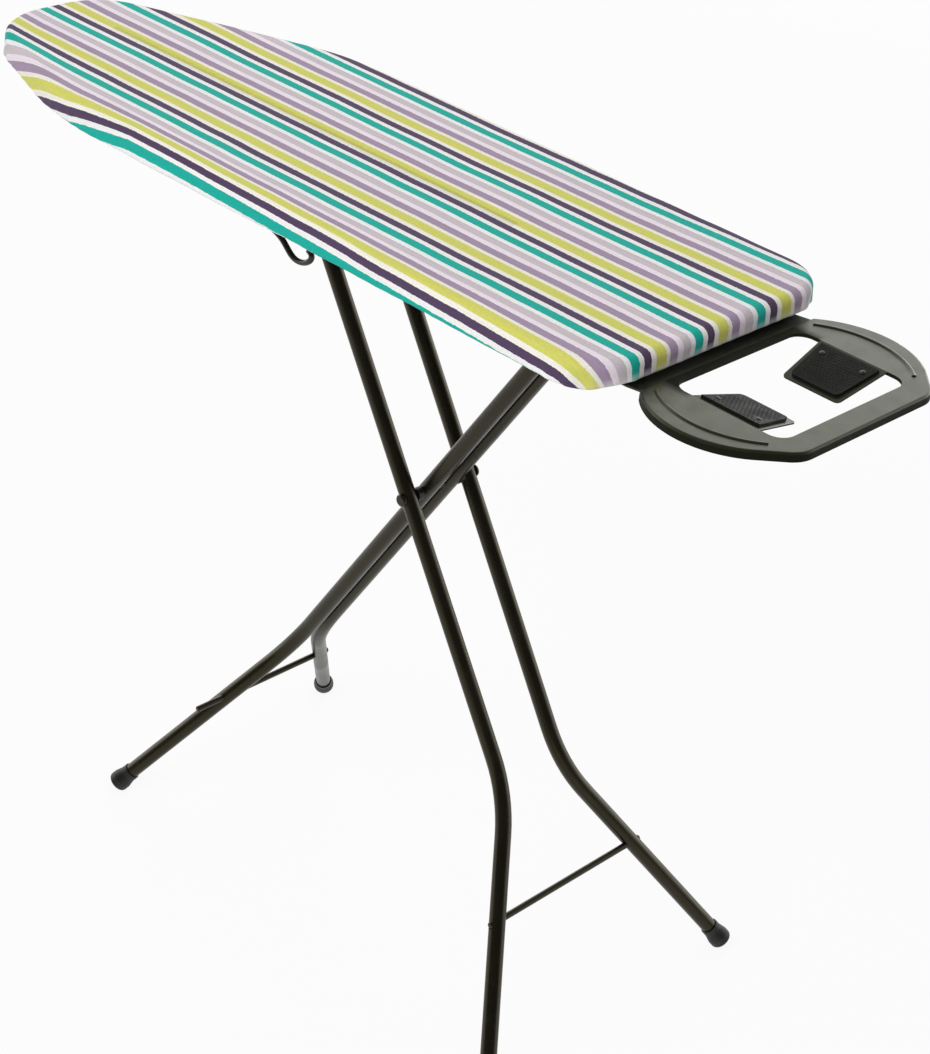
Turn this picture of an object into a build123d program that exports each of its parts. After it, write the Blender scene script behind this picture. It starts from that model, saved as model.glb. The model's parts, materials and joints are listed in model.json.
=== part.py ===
"""Folding ironing board: covered steel top, crossed leg frames, stepless height lock and iron rest.

Millimetres. Z is up from the floor, X runs from the nose to the iron rest and Y to the left.
The origin is on the floor, under the middle of the board with its iron rest.
"""
import os
from math import asin, cos, radians, sin, sqrt, tan

from build123d import *

# Board top
board_length = 1100.0
board_width = 380.0
top_height = 950.0
nose_radius = 88.0
taper_angle = 21.8
shoulder_radius = 300.0
end_corner_radius = 50.0
cover_thickness = 2.0
cover_round = 9.0
skirt_height = 32.0
hem_width = 18.0
pad_thickness = 8.0
deck_thickness = 1.5
rim_diameter = 16.0
rim_wall = 1.2
fit_gap = 0.3

# Diamond vents in the deck
vent_length = 44.0
vent_width = 20.0
vent_pitch_x = 62.0
vent_pitch_y = 32.0
vent_margin = 34.0

# Cross members under the deck
brace_width = 30.0
brace_height = 8.0
brace_wall = 1.5
brace_end_from_pivot = 105.0
brace_mid_from_pivot = -70.0

# Leg frames
leg_diameter = 20.0
leg_wall = 1.2
leg_angle = 57.5
fold_rest_angle = 5.0
hinge_from_end_share = 0.134
upper_arm_share = 0.371
bend_radius = 190.0
front_half_spacing = 48.0
front_foot_half_spacing = 218.0
front_bend_from_pivot = 374.0
front_crossbar_from_pivot = 505.0
rear_half_spacing = 19.0
rear_foot_half_spacing = 191.0
rear_bend_from_pivot = 392.0
rear_crossbar_from_pivot = 499.0
crossbar_diameter = 8.0
crossbar_stub = 1.5
stow_stub = 40.0
running_gap = 0.05

# Foot caps
foot_length = 30.0
foot_top_radius = 11.6
foot_radius = 14.0
foot_rim = 11.0
foot_flare = 22.0
foot_end_round = 5.0
foot_blend = 8.0
foot_floor = 6.0
foot_contact = 1.0

# Crossing pivot
pivot_diameter = 8.0
pivot_head_radius = 8.0
pivot_head_height = 4.0
pivot_head_round = 3.2
spacer_radius = 8.0

# Fixed hinge of the rear legs
hinge_pin_diameter = 12.0
hinge_head_radius = 9.0
hinge_head_thickness = 3.0
hinge_sleeve_length = 60.0
hinge_sleeve_radius = 11.0
hinge_cheek = 2.0
hinge_cheek_radius = 14.0
hinge_base_thickness = 1.5
hinge_base_length = 70.0

# Slide rails and shoes
rail_height = 26.0
rail_width = 18.0
rail_wall = 2.0
rail_leg_gap = 2.5
rail_end_margin = 8.0
shoe_length = 34.0
shoe_corner = 5.0
top_bar_diameter = 16.0

# Height lock
lock_rod_diameter = 8.0
lock_rod_offset = 26.0
lock_rod_drop = 38.0
lock_rod_chamfer = 0.8
hanger_thickness = 2.0
hanger_width = 12.0
hanger_nose_reach = 48.0
hanger_end_reach = 34.0
bracket_cheek = 2.0
bracket_inside = 18.0
bracket_web_reach = 10.0
bracket_web_height = 7.0
bracket_bar_radius = 12.0
bracket_lever_radius = 8.0
lever_diameter = 7.0
lever_end_round = 2.3
lever_back = 24.0
lever_drop = 56.0
lever_bend = 22.0
lever_reach_y = 120.0
grip_slope = 18.7
grip_length = 143.5
grip_bend = 12.0
grip_tip = 30.0
grip_tip_angle = 110.0
plate_thickness = 3.0
plate_above = 27.0
plate_tilt = 7.0
plate_slot_width = 9.4
plate_slot_height = 11.4
plate_side_gap = 0.5
spring_wire = 1.6
spring_radius = 5.6
spring_turns = 4

# Iron rest
rest_reach = 200.0
rest_sheet = 1.5
rest_rim = 10.0
rest_drop = 28.0
rest_half_width = 168.0
rest_back_half_width = 139.0
rest_front_half_width = 104.0
rest_corner_radius = 34.0
rest_widest_from_end = 88.0
rest_edge_round = 3.0
well_from_end = 31.0
well_to_front = 29.0
well_half_width = 102.0
well_corner_radius = 18.0
well_lip = 4.0
flap_slope = 14.0
flap_width = 71.0
flap_root_length = 86.0
flap_tip_length = 72.0
flap_corner_radius = 6.0
pad_sheet = 3.0
pad_inset = 6.0
rivet_radius = 4.0
rivet_height = 1.6
rivet_taper = 30.0
rivet_pitch = 52.0
rivet_from_root = 19.0
rib_height = 1.6
rib_inset = 22.0
rib_start = 0.07
rail_slope_run = 22.0
rest_rail_sheet = 2.0
rest_rail_flange = 26.0
rest_rail_foot = 4.5
screw_radius = 3.0
screw_head_radius = 6.0
screw_head_height = 2.5
screw_head_taper = 20.0
screw_half_spacing = 95.0

# Places that follow from the sizes above
nose_x = -(board_length + rest_reach) / 2
end_x = nose_x + board_length
rest_front_x = end_x + rest_reach
skirt_z = top_height - skirt_height
pad_z = top_height - cover_thickness - pad_thickness
deck_z = pad_z - deck_thickness
rim_inset = cover_thickness + fit_gap + rim_diameter / 2
axle_z = deck_z - rail_height / 2
upper_arm = upper_arm_share * board_length
hinge_x = end_x - hinge_from_end_share * board_length
pivot_x = hinge_x - upper_arm * cos(radians(leg_angle))
pivot_height = axle_z - upper_arm * sin(radians(leg_angle))
slide_x = pivot_x - upper_arm * cos(radians(leg_angle))
foot_arm = pivot_height / sin(radians(leg_angle))
folded_slide_x = hinge_x - 2 * upper_arm * cos(radians(fold_rest_angle))
leg_radius = leg_diameter / 2
rail_inner_y = front_half_spacing + leg_radius + rail_leg_gap
rail_outer_y = rail_inner_y + rail_width
lock_rod_z = top_height - lock_rod_drop
lever_x = slide_x - lever_back
lever_z = top_height - lever_drop
rest_z = top_height - rest_drop
well_back_x = end_x + well_from_end
well_front_x = rest_front_x - well_to_front

os.makedirs("parts", exist_ok=True)


def save(piece, name):
    """Label a finished piece and write it as its own file."""
    piece.part.label = name
    export_step(piece.part, f"parts/{name}.step")


def board_face(inset, z):
    """Plan outline of the board at height z, drawn in from its edge by inset."""
    taper = radians(taper_angle)
    half = board_width / 2 - inset
    apex = nose_x + nose_radius - (nose_radius - inset) / sin(taper)
    shoulder = apex + half / tan(taper)
    end = end_x - inset
    with BuildSketch(Plane.XY.offset(z)) as outline:
        with BuildLine():
            Polyline((apex, 0), (shoulder, half), (end, half), (end, -half), (shoulder, -half), close=True)
        make_face()
        fillet(outline.vertices().group_by(Axis.X)[-1], radius=end_corner_radius - inset)
        fillet(outline.vertices().group_by(Axis.X)[1], radius=shoulder_radius - inset)
        fillet(outline.vertices().group_by(Axis.X)[0], radius=nose_radius - inset)
    return outline.sketch


def sweep_tube(path, radius, wall):
    """Tube along a path, added to the part being built."""
    for size, way in ((radius, Mode.ADD), (radius - wall, Mode.SUBTRACT)):
        with BuildSketch(Plane(origin=path @ 0, z_dir=path % 0)) as section:
            Circle(size)
        sweep(section.sketch, path=path, mode=way)


def half_width_at(x):
    """Half width of the board's taper at x, without its rounded shoulder."""
    taper = radians(taper_angle)
    apex = nose_x + nose_radius - nose_radius / sin(taper)
    return min(board_width / 2, (x - apex) * tan(taper))


def vent_spots():
    """Centres of the diamond vents: staggered rows that keep clear of the deck's edge."""
    spots = []
    columns = int((board_length - 2 * vent_margin) // (vent_pitch_x / 2))
    for column in range(columns + 1):
        x = nose_x + vent_margin + vent_length / 2 + column * vent_pitch_x / 2
        room = half_width_at(x - vent_length / 2) - vent_margin
        if x + vent_length / 2 + vent_margin > end_x or room < 0:
            continue
        rows = int(room // vent_pitch_y)
        shift = 0.5 if column % 2 else 0.0
        spots += [(x, (row + shift) * vent_pitch_y) for row in range(-rows, rows + 1)
                  if abs(row + shift) * vent_pitch_y <= room]
    return spots


# Holes for the screws that hold the iron rest's rail up against the rim
screw_spots = [(end_x - rim_inset, side * screw_half_spacing) for side in (1, -1)]
screw_grip = skirt_height - cover_thickness - pad_thickness - deck_thickness - rim_diameter + 2 * rim_wall
with BuildPart() as screw_holes:
    with BuildSketch(Plane.XY.offset(skirt_z - rest_rail_sheet)):
        with Locations(*screw_spots):
            Circle(screw_radius + running_gap)
    extrude(amount=rest_rail_sheet + screw_grip + running_gap)

# Cotton cover: top, skirt and turned-in hem
with BuildPart() as cover:
    add(board_face(0, skirt_z))
    extrude(amount=skirt_height)
    fillet(cover.faces().sort_by(Axis.Z)[-1].edges(), radius=cover_round)
    offset(amount=-cover_thickness, openings=cover.faces().sort_by(Axis.Z)[0])
    add(board_face(cover_thickness, skirt_z))
    extrude(amount=cover_thickness)
    add(board_face(hem_width, skirt_z))
    extrude(amount=cover_thickness, mode=Mode.SUBTRACT)
    add(screw_holes, mode=Mode.SUBTRACT)
save(cover, "cover")

# Felt underlay
with BuildPart() as felt_pad:
    add(board_face(cover_thickness + fit_gap, pad_z))
    extrude(amount=pad_thickness)
    fillet(felt_pad.faces().sort_by(Axis.Z)[-1].edges(), radius=cover_round - cover_thickness)
save(felt_pad, "felt_pad")

# Steel deck with diamond vents
with BuildPart() as deck:
    with BuildSketch(Plane.XY.offset(deck_z)):
        add(board_face(cover_thickness + fit_gap, 0))
        with Locations(*vent_spots()):
            Polygon((-vent_length / 2, 0), (0, -vent_width / 2), (vent_length / 2, 0), (0, vent_width / 2),
                    mode=Mode.SUBTRACT)
    extrude(amount=deck_thickness)
save(deck, "deck")

# Rim tube round the deck, bent as two matching halves that meet at the nose and at the end
rim_z = deck_z - rim_diameter / 2
rim_half_width = board_width / 2 - rim_inset
rim_nose_radius = nose_radius - rim_inset
rim_nose_joint = Vector(nose_x + nose_radius - rim_nose_radius * sin(radians(taper_angle)),
                        rim_nose_radius * cos(radians(taper_angle)), rim_z)
rim_shoulder_x = rim_nose_joint.X + (rim_half_width - rim_nose_joint.Y) / tan(radians(taper_angle))
with BuildLine() as rim_path:
    FilletPolyline((end_x - rim_inset, 0, rim_z), (end_x - rim_inset, rim_half_width, rim_z),
                   (rim_shoulder_x, rim_half_width, rim_z), rim_nose_joint,
                   radius=[end_corner_radius - rim_inset, shoulder_radius - rim_inset])
    TangentArc(rim_nose_joint, (nose_x + rim_inset, 0, rim_z),
               tangent=(-cos(radians(taper_angle)), -sin(radians(taper_angle)), 0))
with BuildPart() as rim_tube:
    sweep_tube(rim_path.wires()[0], rim_diameter / 2, rim_wall)
    mirror(about=Plane.XZ)
    add(screw_holes, mode=Mode.SUBTRACT)
save(rim_tube, "rim_tube")

# Cross members, folded from strip, between the two sides of the rim
brace_half_length = board_width / 2 - rim_inset - rim_diameter / 2 - fit_gap


def cross_brace(x, name):
    """Shallow hat-section cross member under the deck at x."""
    with BuildPart() as brace:
        with Locations((x, 0, deck_z)):
            Box(brace_width, 2 * brace_half_length, brace_height,
                align=(Align.CENTER, Align.CENTER, Align.MAX))
            Box(brace_width - 2 * brace_wall, 2 * brace_half_length, brace_height - brace_wall,
                align=(Align.CENTER, Align.CENTER, Align.MAX), mode=Mode.SUBTRACT)
    save(brace, name)


cross_brace(pivot_x + brace_mid_from_pivot, "deck_brace_nose")
cross_brace(pivot_x + brace_end_from_pivot, "deck_brace_end")


def slide_rail(side, name):
    """Channel under the deck, open towards the middle, for one slide shoe."""
    start = folded_slide_x - shoe_length / 2 - rail_end_margin
    length = slide_x + shoe_length / 2 + rail_end_margin - start
    with BuildPart() as rail:
        with BuildSketch(Plane(origin=(start, 0, deck_z - rail_height), x_dir=(0, 1, 0), z_dir=(1, 0, 0))):
            with Locations((side * (rail_inner_y + rail_width / 2), rail_height / 2)):
                Rectangle(rail_width, rail_height)
            with Locations((side * (rail_inner_y + (rail_width - rail_wall) / 2), rail_height / 2)):
                Rectangle(rail_width - rail_wall, rail_height - 2 * rail_wall, mode=Mode.SUBTRACT)
        extrude(amount=length)
    save(rail, name)


slide_rail(1, "slide_rail_left")
slide_rail(-1, "slide_rail_right")

# Rod of the height lock and its hangers
rod_start_x = folded_slide_x - lever_back - hanger_nose_reach
rod_end_x = slide_x + hanger_end_reach
with BuildPart() as lock_rod:
    with BuildSketch(Plane(origin=(rod_start_x, lock_rod_offset, lock_rod_z), z_dir=(1, 0, 0))):
        Circle(lock_rod_diameter / 2)
    extrude(amount=rod_end_x - rod_start_x)
    chamfer(lock_rod.edges(), length=lock_rod_chamfer)
save(lock_rod, "lock_rod")

hanger_inset = lock_rod_diameter
with BuildPart() as lock_rod_hangers:
    for hanger_x in (rod_start_x + hanger_inset, rod_end_x - hanger_inset - hanger_thickness):
        with BuildSketch(Plane(origin=(hanger_x, lock_rod_offset, lock_rod_z), x_dir=(0, 1, 0),
                               z_dir=(1, 0, 0))):
            Circle(hanger_width / 2)
            with Locations((0, (deck_z - lock_rod_z) / 2)):
                Rectangle(hanger_width, deck_z - lock_rod_z)
            Circle(lock_rod_diameter / 2 + running_gap, mode=Mode.SUBTRACT)
        extrude(amount=hanger_thickness)
        with Locations((hanger_x + hanger_thickness, lock_rod_offset, deck_z)):
            Box(hanger_width, hanger_width, hanger_thickness, align=(Align.MIN, Align.CENTER, Align.MAX))
save(lock_rod_hangers, "lock_rod_hangers")

# Fixed hinge of the rear legs
cheek_y = hinge_sleeve_length / 2 + fit_gap
pin_radius = hinge_pin_diameter / 2
with BuildPart() as hinge_bracket:
    with Locations((hinge_x, 0, deck_z)):
        Box(hinge_base_length, 2 * (cheek_y + hinge_cheek), hinge_base_thickness,
            align=(Align.CENTER, Align.CENTER, Align.MAX))
    for cheek_start in (cheek_y, -cheek_y - hinge_cheek):
        with BuildSketch(Plane(origin=(hinge_x, cheek_start, axle_z), x_dir=(1, 0, 0), z_dir=(0, -1, 0))):
            with BuildLine():
                rise = deck_z - hinge_base_thickness - axle_z
                Polyline((-hinge_cheek_radius, 0), (-hinge_base_length / 2, rise),
                         (hinge_base_length / 2, rise), (hinge_cheek_radius, 0))
                RadiusArc((hinge_cheek_radius, 0), (-hinge_cheek_radius, 0), hinge_cheek_radius)
            make_face()
            Circle(pin_radius + running_gap, mode=Mode.SUBTRACT)
        extrude(amount=-hinge_cheek)
save(hinge_bracket, "hinge_bracket")


def round_bar(x, z, y_from, y_to, radius, bore=0.0):
    """Straight bar or tube along Y, added to the part being built."""
    with BuildSketch(Plane(origin=(x, y_from, z), x_dir=(1, 0, 0), z_dir=(0, 1, 0))) as section:
        Circle(radius)
        if bore:
            Circle(bore, mode=Mode.SUBTRACT)
    extrude(section.sketch, amount=y_to - y_from)


with BuildPart() as hinge_pin:
    pin_end = cheek_y + hinge_cheek + running_gap
    round_bar(hinge_x, axle_z, -pin_end, pin_end, pin_radius)
    round_bar(hinge_x, axle_z, pin_end, pin_end + hinge_head_thickness, hinge_head_radius)
    round_bar(hinge_x, axle_z, -pin_end - hinge_head_thickness, -pin_end, hinge_head_radius)
save(hinge_pin, "hinge_pin")


# Bent leg tubes: front legs run down towards the iron rest, rear legs towards the nose
front_way = Vector(cos(radians(leg_angle)), 0, -sin(radians(leg_angle)))
rear_way = Vector(-cos(radians(leg_angle)), 0, -sin(radians(leg_angle)))
crossing = Vector(pivot_x, 0, pivot_height)


def leg_point(way, reach, y):
    """Point at a reach down the leg from the crossing, at a sideways place."""
    return crossing + way * reach + Vector(0, y, 0)


def splay_way(way, bend_reach, y, foot_y):
    """Direction of the splayed lower run of a leg."""
    return (leg_point(way, foot_arm, foot_y) - leg_point(way, bend_reach, y)).normalized()


def foot_end(way, bend_reach, y, foot_y):
    """Point on a leg's centre line where its rounded cap ends, so that the cap's edge stands on the floor."""
    down = splay_way(way, bend_reach, y, foot_y)
    edge = (foot_radius - foot_end_round) * sqrt(1 - down.Z ** 2) + foot_end_round - foot_contact
    return leg_point(way, foot_arm, foot_y) - down * (edge / -down.Z - foot_end_round)


def leg_tube(way, bend_reach, y, foot_y, bar_radius, rod_reach, name):
    """One bent tube, coped to the bar at its top and drilled for the pivot and the crossbar."""
    top = leg_point(way, -upper_arm, y)
    stop = foot_end(way, bend_reach, y, foot_y) - splay_way(way, bend_reach, y, foot_y) * foot_floor
    rod_point = leg_point(way, rod_reach, 0)
    with BuildPart() as tube:
        with BuildLine() as route:
            FilletPolyline(top, leg_point(way, bend_reach, y), stop, radius=bend_radius)
        sweep_tube(route.wires()[0], leg_radius, leg_wall)
        for x, z, radius in ((top.X, top.Z, bar_radius),
                             (pivot_x, pivot_height, pivot_diameter / 2 + running_gap),
                             (rod_point.X, rod_point.Z, crossbar_diameter / 2 + running_gap)):
            with BuildSketch(Plane(origin=(x, -board_width / 2, z), x_dir=(1, 0, 0), z_dir=(0, 1, 0))):
                Circle(radius)
            extrude(amount=board_width, mode=Mode.SUBTRACT)
    save(tube, name)


def foot_cap(way, bend_reach, y, foot_y, name):
    """Round push-on cap that flares to its end, with a small flat where it stands."""
    down = splay_way(way, bend_reach, y, foot_y)
    end = foot_end(way, bend_reach, y, foot_y)
    across = Vector(0, 0, 1).cross(down).normalized()
    tube_fit = leg_radius + running_gap
    with BuildPart() as cap:
        with BuildSketch(Plane(origin=end, x_dir=across, z_dir=across.cross(down))) as profile:
            with BuildLine():
                Polyline((0, 0), (foot_radius, 0), (foot_radius, -foot_rim), (foot_top_radius, -foot_flare),
                         (foot_top_radius, -foot_length), (tube_fit, -foot_length), (tube_fit, -foot_floor),
                         (0, -foot_floor), close=True)
            make_face()
            for spot, radius in (((foot_radius, 0), foot_end_round), ((foot_radius, -foot_rim), foot_blend),
                                 ((foot_top_radius, -foot_flare), foot_blend)):
                fillet(profile.vertices().sort_by_distance(spot)[0], radius=radius)
        revolve(axis=Axis(end, down))
        split(bisect_by=Plane.XY, keep=Keep.TOP)
    save(cap, name)


for side, side_name in ((1, "left"), (-1, "right")):
    leg_tube(front_way, front_bend_from_pivot, side * front_half_spacing, side * front_foot_half_spacing,
             top_bar_diameter / 2, front_crossbar_from_pivot, f"front_leg_{side_name}")
    foot_cap(front_way, front_bend_from_pivot, side * front_half_spacing, side * front_foot_half_spacing,
             f"front_foot_{side_name}")
    leg_tube(rear_way, rear_bend_from_pivot, side * rear_half_spacing, side * rear_foot_half_spacing,
             hinge_sleeve_radius, rear_crossbar_from_pivot, f"rear_leg_{side_name}")
    foot_cap(rear_way, rear_bend_from_pivot, side * rear_half_spacing, side * rear_foot_half_spacing,
             f"rear_foot_{side_name}")

# Sleeve of the rear legs on the hinge pin
with BuildPart() as rear_hinge_sleeve:
    round_bar(hinge_x, axle_z, -hinge_sleeve_length / 2, hinge_sleeve_length / 2, hinge_sleeve_radius,
              bore=pin_radius + running_gap)
save(rear_hinge_sleeve, "rear_hinge_sleeve")


def crossbar(way, bend_reach, y, foot_y, rod_reach, right_stub, name):
    """Thin rod through both splayed tubes, standing out further on the right."""
    spot = leg_point(way, rod_reach, 0)
    splay = splay_way(way, bend_reach, y, foot_y)
    tube_y = y + (foot_y - y) * (rod_reach - bend_reach) / (foot_arm - bend_reach)
    face_y = tube_y + leg_radius / sqrt(1 - splay.Y ** 2)
    with BuildPart() as rod:
        round_bar(spot.X, spot.Z, -face_y - right_stub, face_y + crossbar_stub, crossbar_diameter / 2)
        fillet(rod.edges(), radius=crossbar_stub)
    save(rod, name)


crossbar(front_way, front_bend_from_pivot, front_half_spacing, front_foot_half_spacing,
         front_crossbar_from_pivot, crossbar_stub, "front_crossbar")
crossbar(rear_way, rear_bend_from_pivot, rear_half_spacing, rear_foot_half_spacing,
         rear_crossbar_from_pivot, stow_stub, "rear_crossbar")

# Rod and spacers where the leg frames cross
pivot_reach = front_half_spacing + leg_radius + fit_gap
with BuildPart() as pivot_rod:
    round_bar(pivot_x, pivot_height, -pivot_reach, pivot_reach, pivot_diameter / 2)
    round_bar(pivot_x, pivot_height, pivot_reach, pivot_reach + pivot_head_height, pivot_head_radius)
    round_bar(pivot_x, pivot_height, -pivot_reach - pivot_head_height, -pivot_reach, pivot_head_radius)
    head_rims = pivot_rod.faces().sort_by(Axis.Y)
    fillet([head_rims[0].edges()[0], head_rims[-1].edges()[0]], radius=pivot_head_round)
save(pivot_rod, "pivot_rod")

spacer_start = rear_half_spacing + leg_radius
spacer_end = front_half_spacing - leg_radius - fit_gap
spacer_bore = pivot_diameter / 2 + running_gap
with BuildPart() as pivot_spacers:
    round_bar(pivot_x, pivot_height, spacer_start, spacer_end, spacer_radius, bore=spacer_bore)
    round_bar(pivot_x, pivot_height, -spacer_end, -spacer_start, spacer_radius, bore=spacer_bore)
save(pivot_spacers, "pivot_spacers")

# Top bar of the front legs and the shoes on its ends
shoe_inner_y = rail_inner_y
shoe_outer_y = rail_outer_y - rail_wall - fit_gap
shoe_height = rail_height - 2 * rail_wall - 2 * fit_gap
bar_end_y = shoe_outer_y - rail_wall
with BuildPart() as front_top_bar:
    round_bar(slide_x, axle_z, -bar_end_y, bar_end_y, top_bar_diameter / 2,
              bore=top_bar_diameter / 2 - leg_wall)
save(front_top_bar, "front_top_bar")


def slide_shoe(side, name):
    """Plastic shoe, blind bored for the end of the top bar."""
    with BuildPart() as shoe:
        with Locations((slide_x, side * (shoe_inner_y + shoe_outer_y) / 2, axle_z)):
            Box(shoe_length, shoe_outer_y - shoe_inner_y, shoe_height)
        fillet(shoe.edges().filter_by(Axis.Y), radius=shoe_corner)
        with BuildSketch(Plane(origin=(slide_x, side * shoe_inner_y, axle_z), x_dir=(1, 0, 0),
                               z_dir=(0, side, 0))):
            Circle(top_bar_diameter / 2 + running_gap)
        extrude(amount=bar_end_y + fit_gap - shoe_inner_y, mode=Mode.SUBTRACT)
    save(shoe, name)


slide_shoe(1, "slide_shoe_left")
slide_shoe(-1, "slide_shoe_right")

# Bracket on the top bar that carries the height lever
cheek_inner = lock_rod_offset - bracket_inside / 2
cheek_outer = lock_rod_offset + bracket_inside / 2
with BuildPart() as lock_bracket:
    for cheek_start in (cheek_inner - bracket_cheek, cheek_outer):
        with BuildSketch(Plane(origin=(slide_x, cheek_start, axle_z), x_dir=(1, 0, 0), z_dir=(0, -1, 0))):
            Circle(bracket_bar_radius)
            with Locations((-lever_back, lever_z - axle_z)):
                Circle(bracket_lever_radius)
            make_hull()
            Circle(top_bar_diameter / 2 + running_gap, mode=Mode.SUBTRACT)
            with Locations((-lever_back, lever_z - axle_z)):
                Circle(lever_diameter / 2 + running_gap, mode=Mode.SUBTRACT)
        extrude(amount=-bracket_cheek)
    with Locations((slide_x + bracket_web_reach, lock_rod_offset, axle_z)):
        Box(bracket_cheek, bracket_inside, bracket_web_height, align=(Align.MIN, Align.CENTER, Align.CENTER))
save(lock_bracket, "lock_bracket")

# Height lever: a wire that turns in the bracket and ends in a hooked finger grip
lever_start_y = cheek_outer + bracket_cheek + lever_diameter / 2
grip_x = lever_x + grip_length * cos(radians(grip_slope))
grip_z = lever_z - grip_length * sin(radians(grip_slope))
tip_x = grip_x + grip_tip * cos(radians(grip_tip_angle))
tip_z = grip_z + grip_tip * sin(radians(grip_tip_angle))
with BuildPart() as height_lever:
    with BuildLine() as lever_route:
        FilletPolyline((lever_x, lever_start_y, lever_z), (lever_x, -lever_reach_y, lever_z),
                       (grip_x, -lever_reach_y, grip_z), (tip_x, -lever_reach_y, tip_z),
                       radius=[lever_bend, grip_bend])
    with BuildSketch(Plane(origin=(lever_x, lever_start_y, lever_z), z_dir=(0, -1, 0))):
        Circle(lever_diameter / 2)
    sweep(path=lever_route.wires()[0])
    fillet(height_lever.faces().filter_by(GeomType.PLANE).edges(), radius=lever_end_round)
save(height_lever, "height_lever")

# Plate on the lever that grips the lock rod when it tilts
tilt = radians(plate_tilt)
plate_foot = lever_diameter / 2 + running_gap
with BuildPart() as lock_plate:
    with BuildSketch(Plane(origin=(lever_x, lock_rod_offset, lever_z), x_dir=(0, 1, 0),
                           z_dir=(cos(tilt), 0, -sin(tilt)))):
        with Locations((0, (plate_above + plate_foot) / 2)):
            Rectangle(bracket_inside - 2 * plate_side_gap, plate_above - plate_foot)
        with Locations((0, lock_rod_z - lever_z)):
            RectangleRounded(plate_slot_width, plate_slot_height, plate_slot_width / 2 - running_gap,
                             mode=Mode.SUBTRACT)
    extrude(amount=plate_thickness / 2, both=True)
save(lock_plate, "lock_plate")

# Torsion spring that returns the lever
spring_pitch = spring_wire + fit_gap
spring_start_y = cheek_inner - bracket_cheek - fit_gap - spring_wire / 2
with BuildPart() as lever_spring:
    with BuildLine() as coil:
        Helix(pitch=spring_pitch, height=spring_pitch * spring_turns, radius=spring_radius,
              center=(lever_x, spring_start_y, lever_z), direction=(0, -1, 0))
    with BuildSketch(Plane(origin=coil.line @ 0, z_dir=coil.line % 0)):
        Circle(spring_wire / 2)
    sweep(path=coil.wires()[0], is_frenet=True)
save(lever_spring, "lever_spring")

# Pressed iron rest: barrel-sided plate with a turned-down rim, a well and two sloped flaps
rest_back_x = end_x + rail_slope_run
rest_widest_x = end_x + rest_widest_from_end
rest_shoulder_x = rest_front_x - rest_corner_radius
well_middle_x = (well_back_x + well_front_x) / 2
well_length = well_front_x - well_back_x


def rest_side(side, inset):
    """Barrel-shaped side of the rest, drawn in by inset."""
    return ThreePointArc((rest_back_x, side * (rest_back_half_width - inset)),
                         (rest_widest_x, side * (rest_half_width - inset)),
                         (rest_shoulder_x, side * (rest_back_half_width - inset)))


def flap_plane(side):
    """Top of one flap: local Y runs inwards and down the slope."""
    slope = radians(flap_slope)
    return Plane(origin=(well_middle_x, side * well_half_width, rest_z), x_dir=(-side, 0, 0),
                 z_dir=(0, -side * sin(slope), cos(slope)))


def flap_shape(side, inset):
    """Tapered flap with round tip corners, drawn in from its edge by inset."""
    root, tip, reach = flap_root_length / 2 - inset, flap_tip_length / 2 - inset, flap_width - inset
    with BuildSketch(flap_plane(side)) as shape:
        Polygon((-root, inset), (root, inset), (tip, reach), (-tip, reach), align=None)
        fillet(shape.vertices().group_by(Axis.Y)[-1], radius=flap_corner_radius)
    return shape.sketch


with BuildPart() as iron_rest:
    with BuildSketch(Plane.XY.offset(rest_z - rest_rim)) as rest_plan:
        with BuildLine():
            left = rest_side(1, 0)
            right = rest_side(-1, 0)
            Polyline(left @ 1, (rest_front_x, rest_front_half_width), (rest_front_x, -rest_front_half_width),
                     right @ 1)
            Line(left @ 0, right @ 0)
        make_face()
        fillet(rest_plan.vertices().sort_by(Axis.X)[-4:], radius=rest_corner_radius)
    extrude(amount=rest_rim)
    top_rim = iron_rest.faces().sort_by(Axis.Z)[-1].edges().sort_by(Axis.X)[1:]
    fillet(top_rim, radius=rest_edge_round)
    underside, back_end = iron_rest.faces().sort_by(Axis.Z)[0], iron_rest.faces().sort_by(Axis.X)[0]
    offset(amount=-rest_sheet, openings=[underside, back_end])
    with BuildSketch(Plane.XY.offset(rest_z - rest_rim)):
        with Locations((well_middle_x, 0)):
            RectangleRounded(well_length, 2 * well_half_width, well_corner_radius)
    extrude(amount=2 * rest_rim, mode=Mode.SUBTRACT)
    with BuildSketch(Plane.XY.offset(rest_z - well_lip)):
        with Locations((well_middle_x, 0)):
            RectangleRounded(well_length + 2 * rest_sheet, 2 * (well_half_width + rest_sheet),
                             well_corner_radius + rest_sheet)
            RectangleRounded(well_length, 2 * well_half_width, well_corner_radius, mode=Mode.SUBTRACT)
    extrude(amount=well_lip)
    for side in (1, -1):
        extrude(flap_shape(side, 0), amount=-rest_sheet, dir=flap_plane(side).z_dir)
        with BuildLine(Plane.XY.offset(rest_z - rest_sheet)):
            rib = rest_side(side, rib_inset).trim(rib_start, 1)
        for radius, way in ((rib_height + rest_sheet, Mode.ADD), (rib_height, Mode.SUBTRACT)):
            with BuildSketch(Plane(origin=rib @ 0, x_dir=(0, 0, 1), z_dir=rib % 0)) as section:
                Circle(radius)
                with Locations((-radius, 0)):
                    Rectangle(2 * radius, 2 * radius, mode=Mode.SUBTRACT)
            sweep(section.sketch, path=rib, mode=way)
            with Locations(rib @ 0, rib @ 1):
                Sphere(radius, arc_size1=0, mode=way)
save(iron_rest, "iron_rest")


def heat_pad(side, name):
    """Heatproof pad lying on one flap."""
    with BuildPart() as pad:
        extrude(flap_shape(side, pad_inset), amount=pad_sheet, dir=flap_plane(side).z_dir)
    save(pad, name)


heat_pad(1, "heat_pad_left")
heat_pad(-1, "heat_pad_right")

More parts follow.
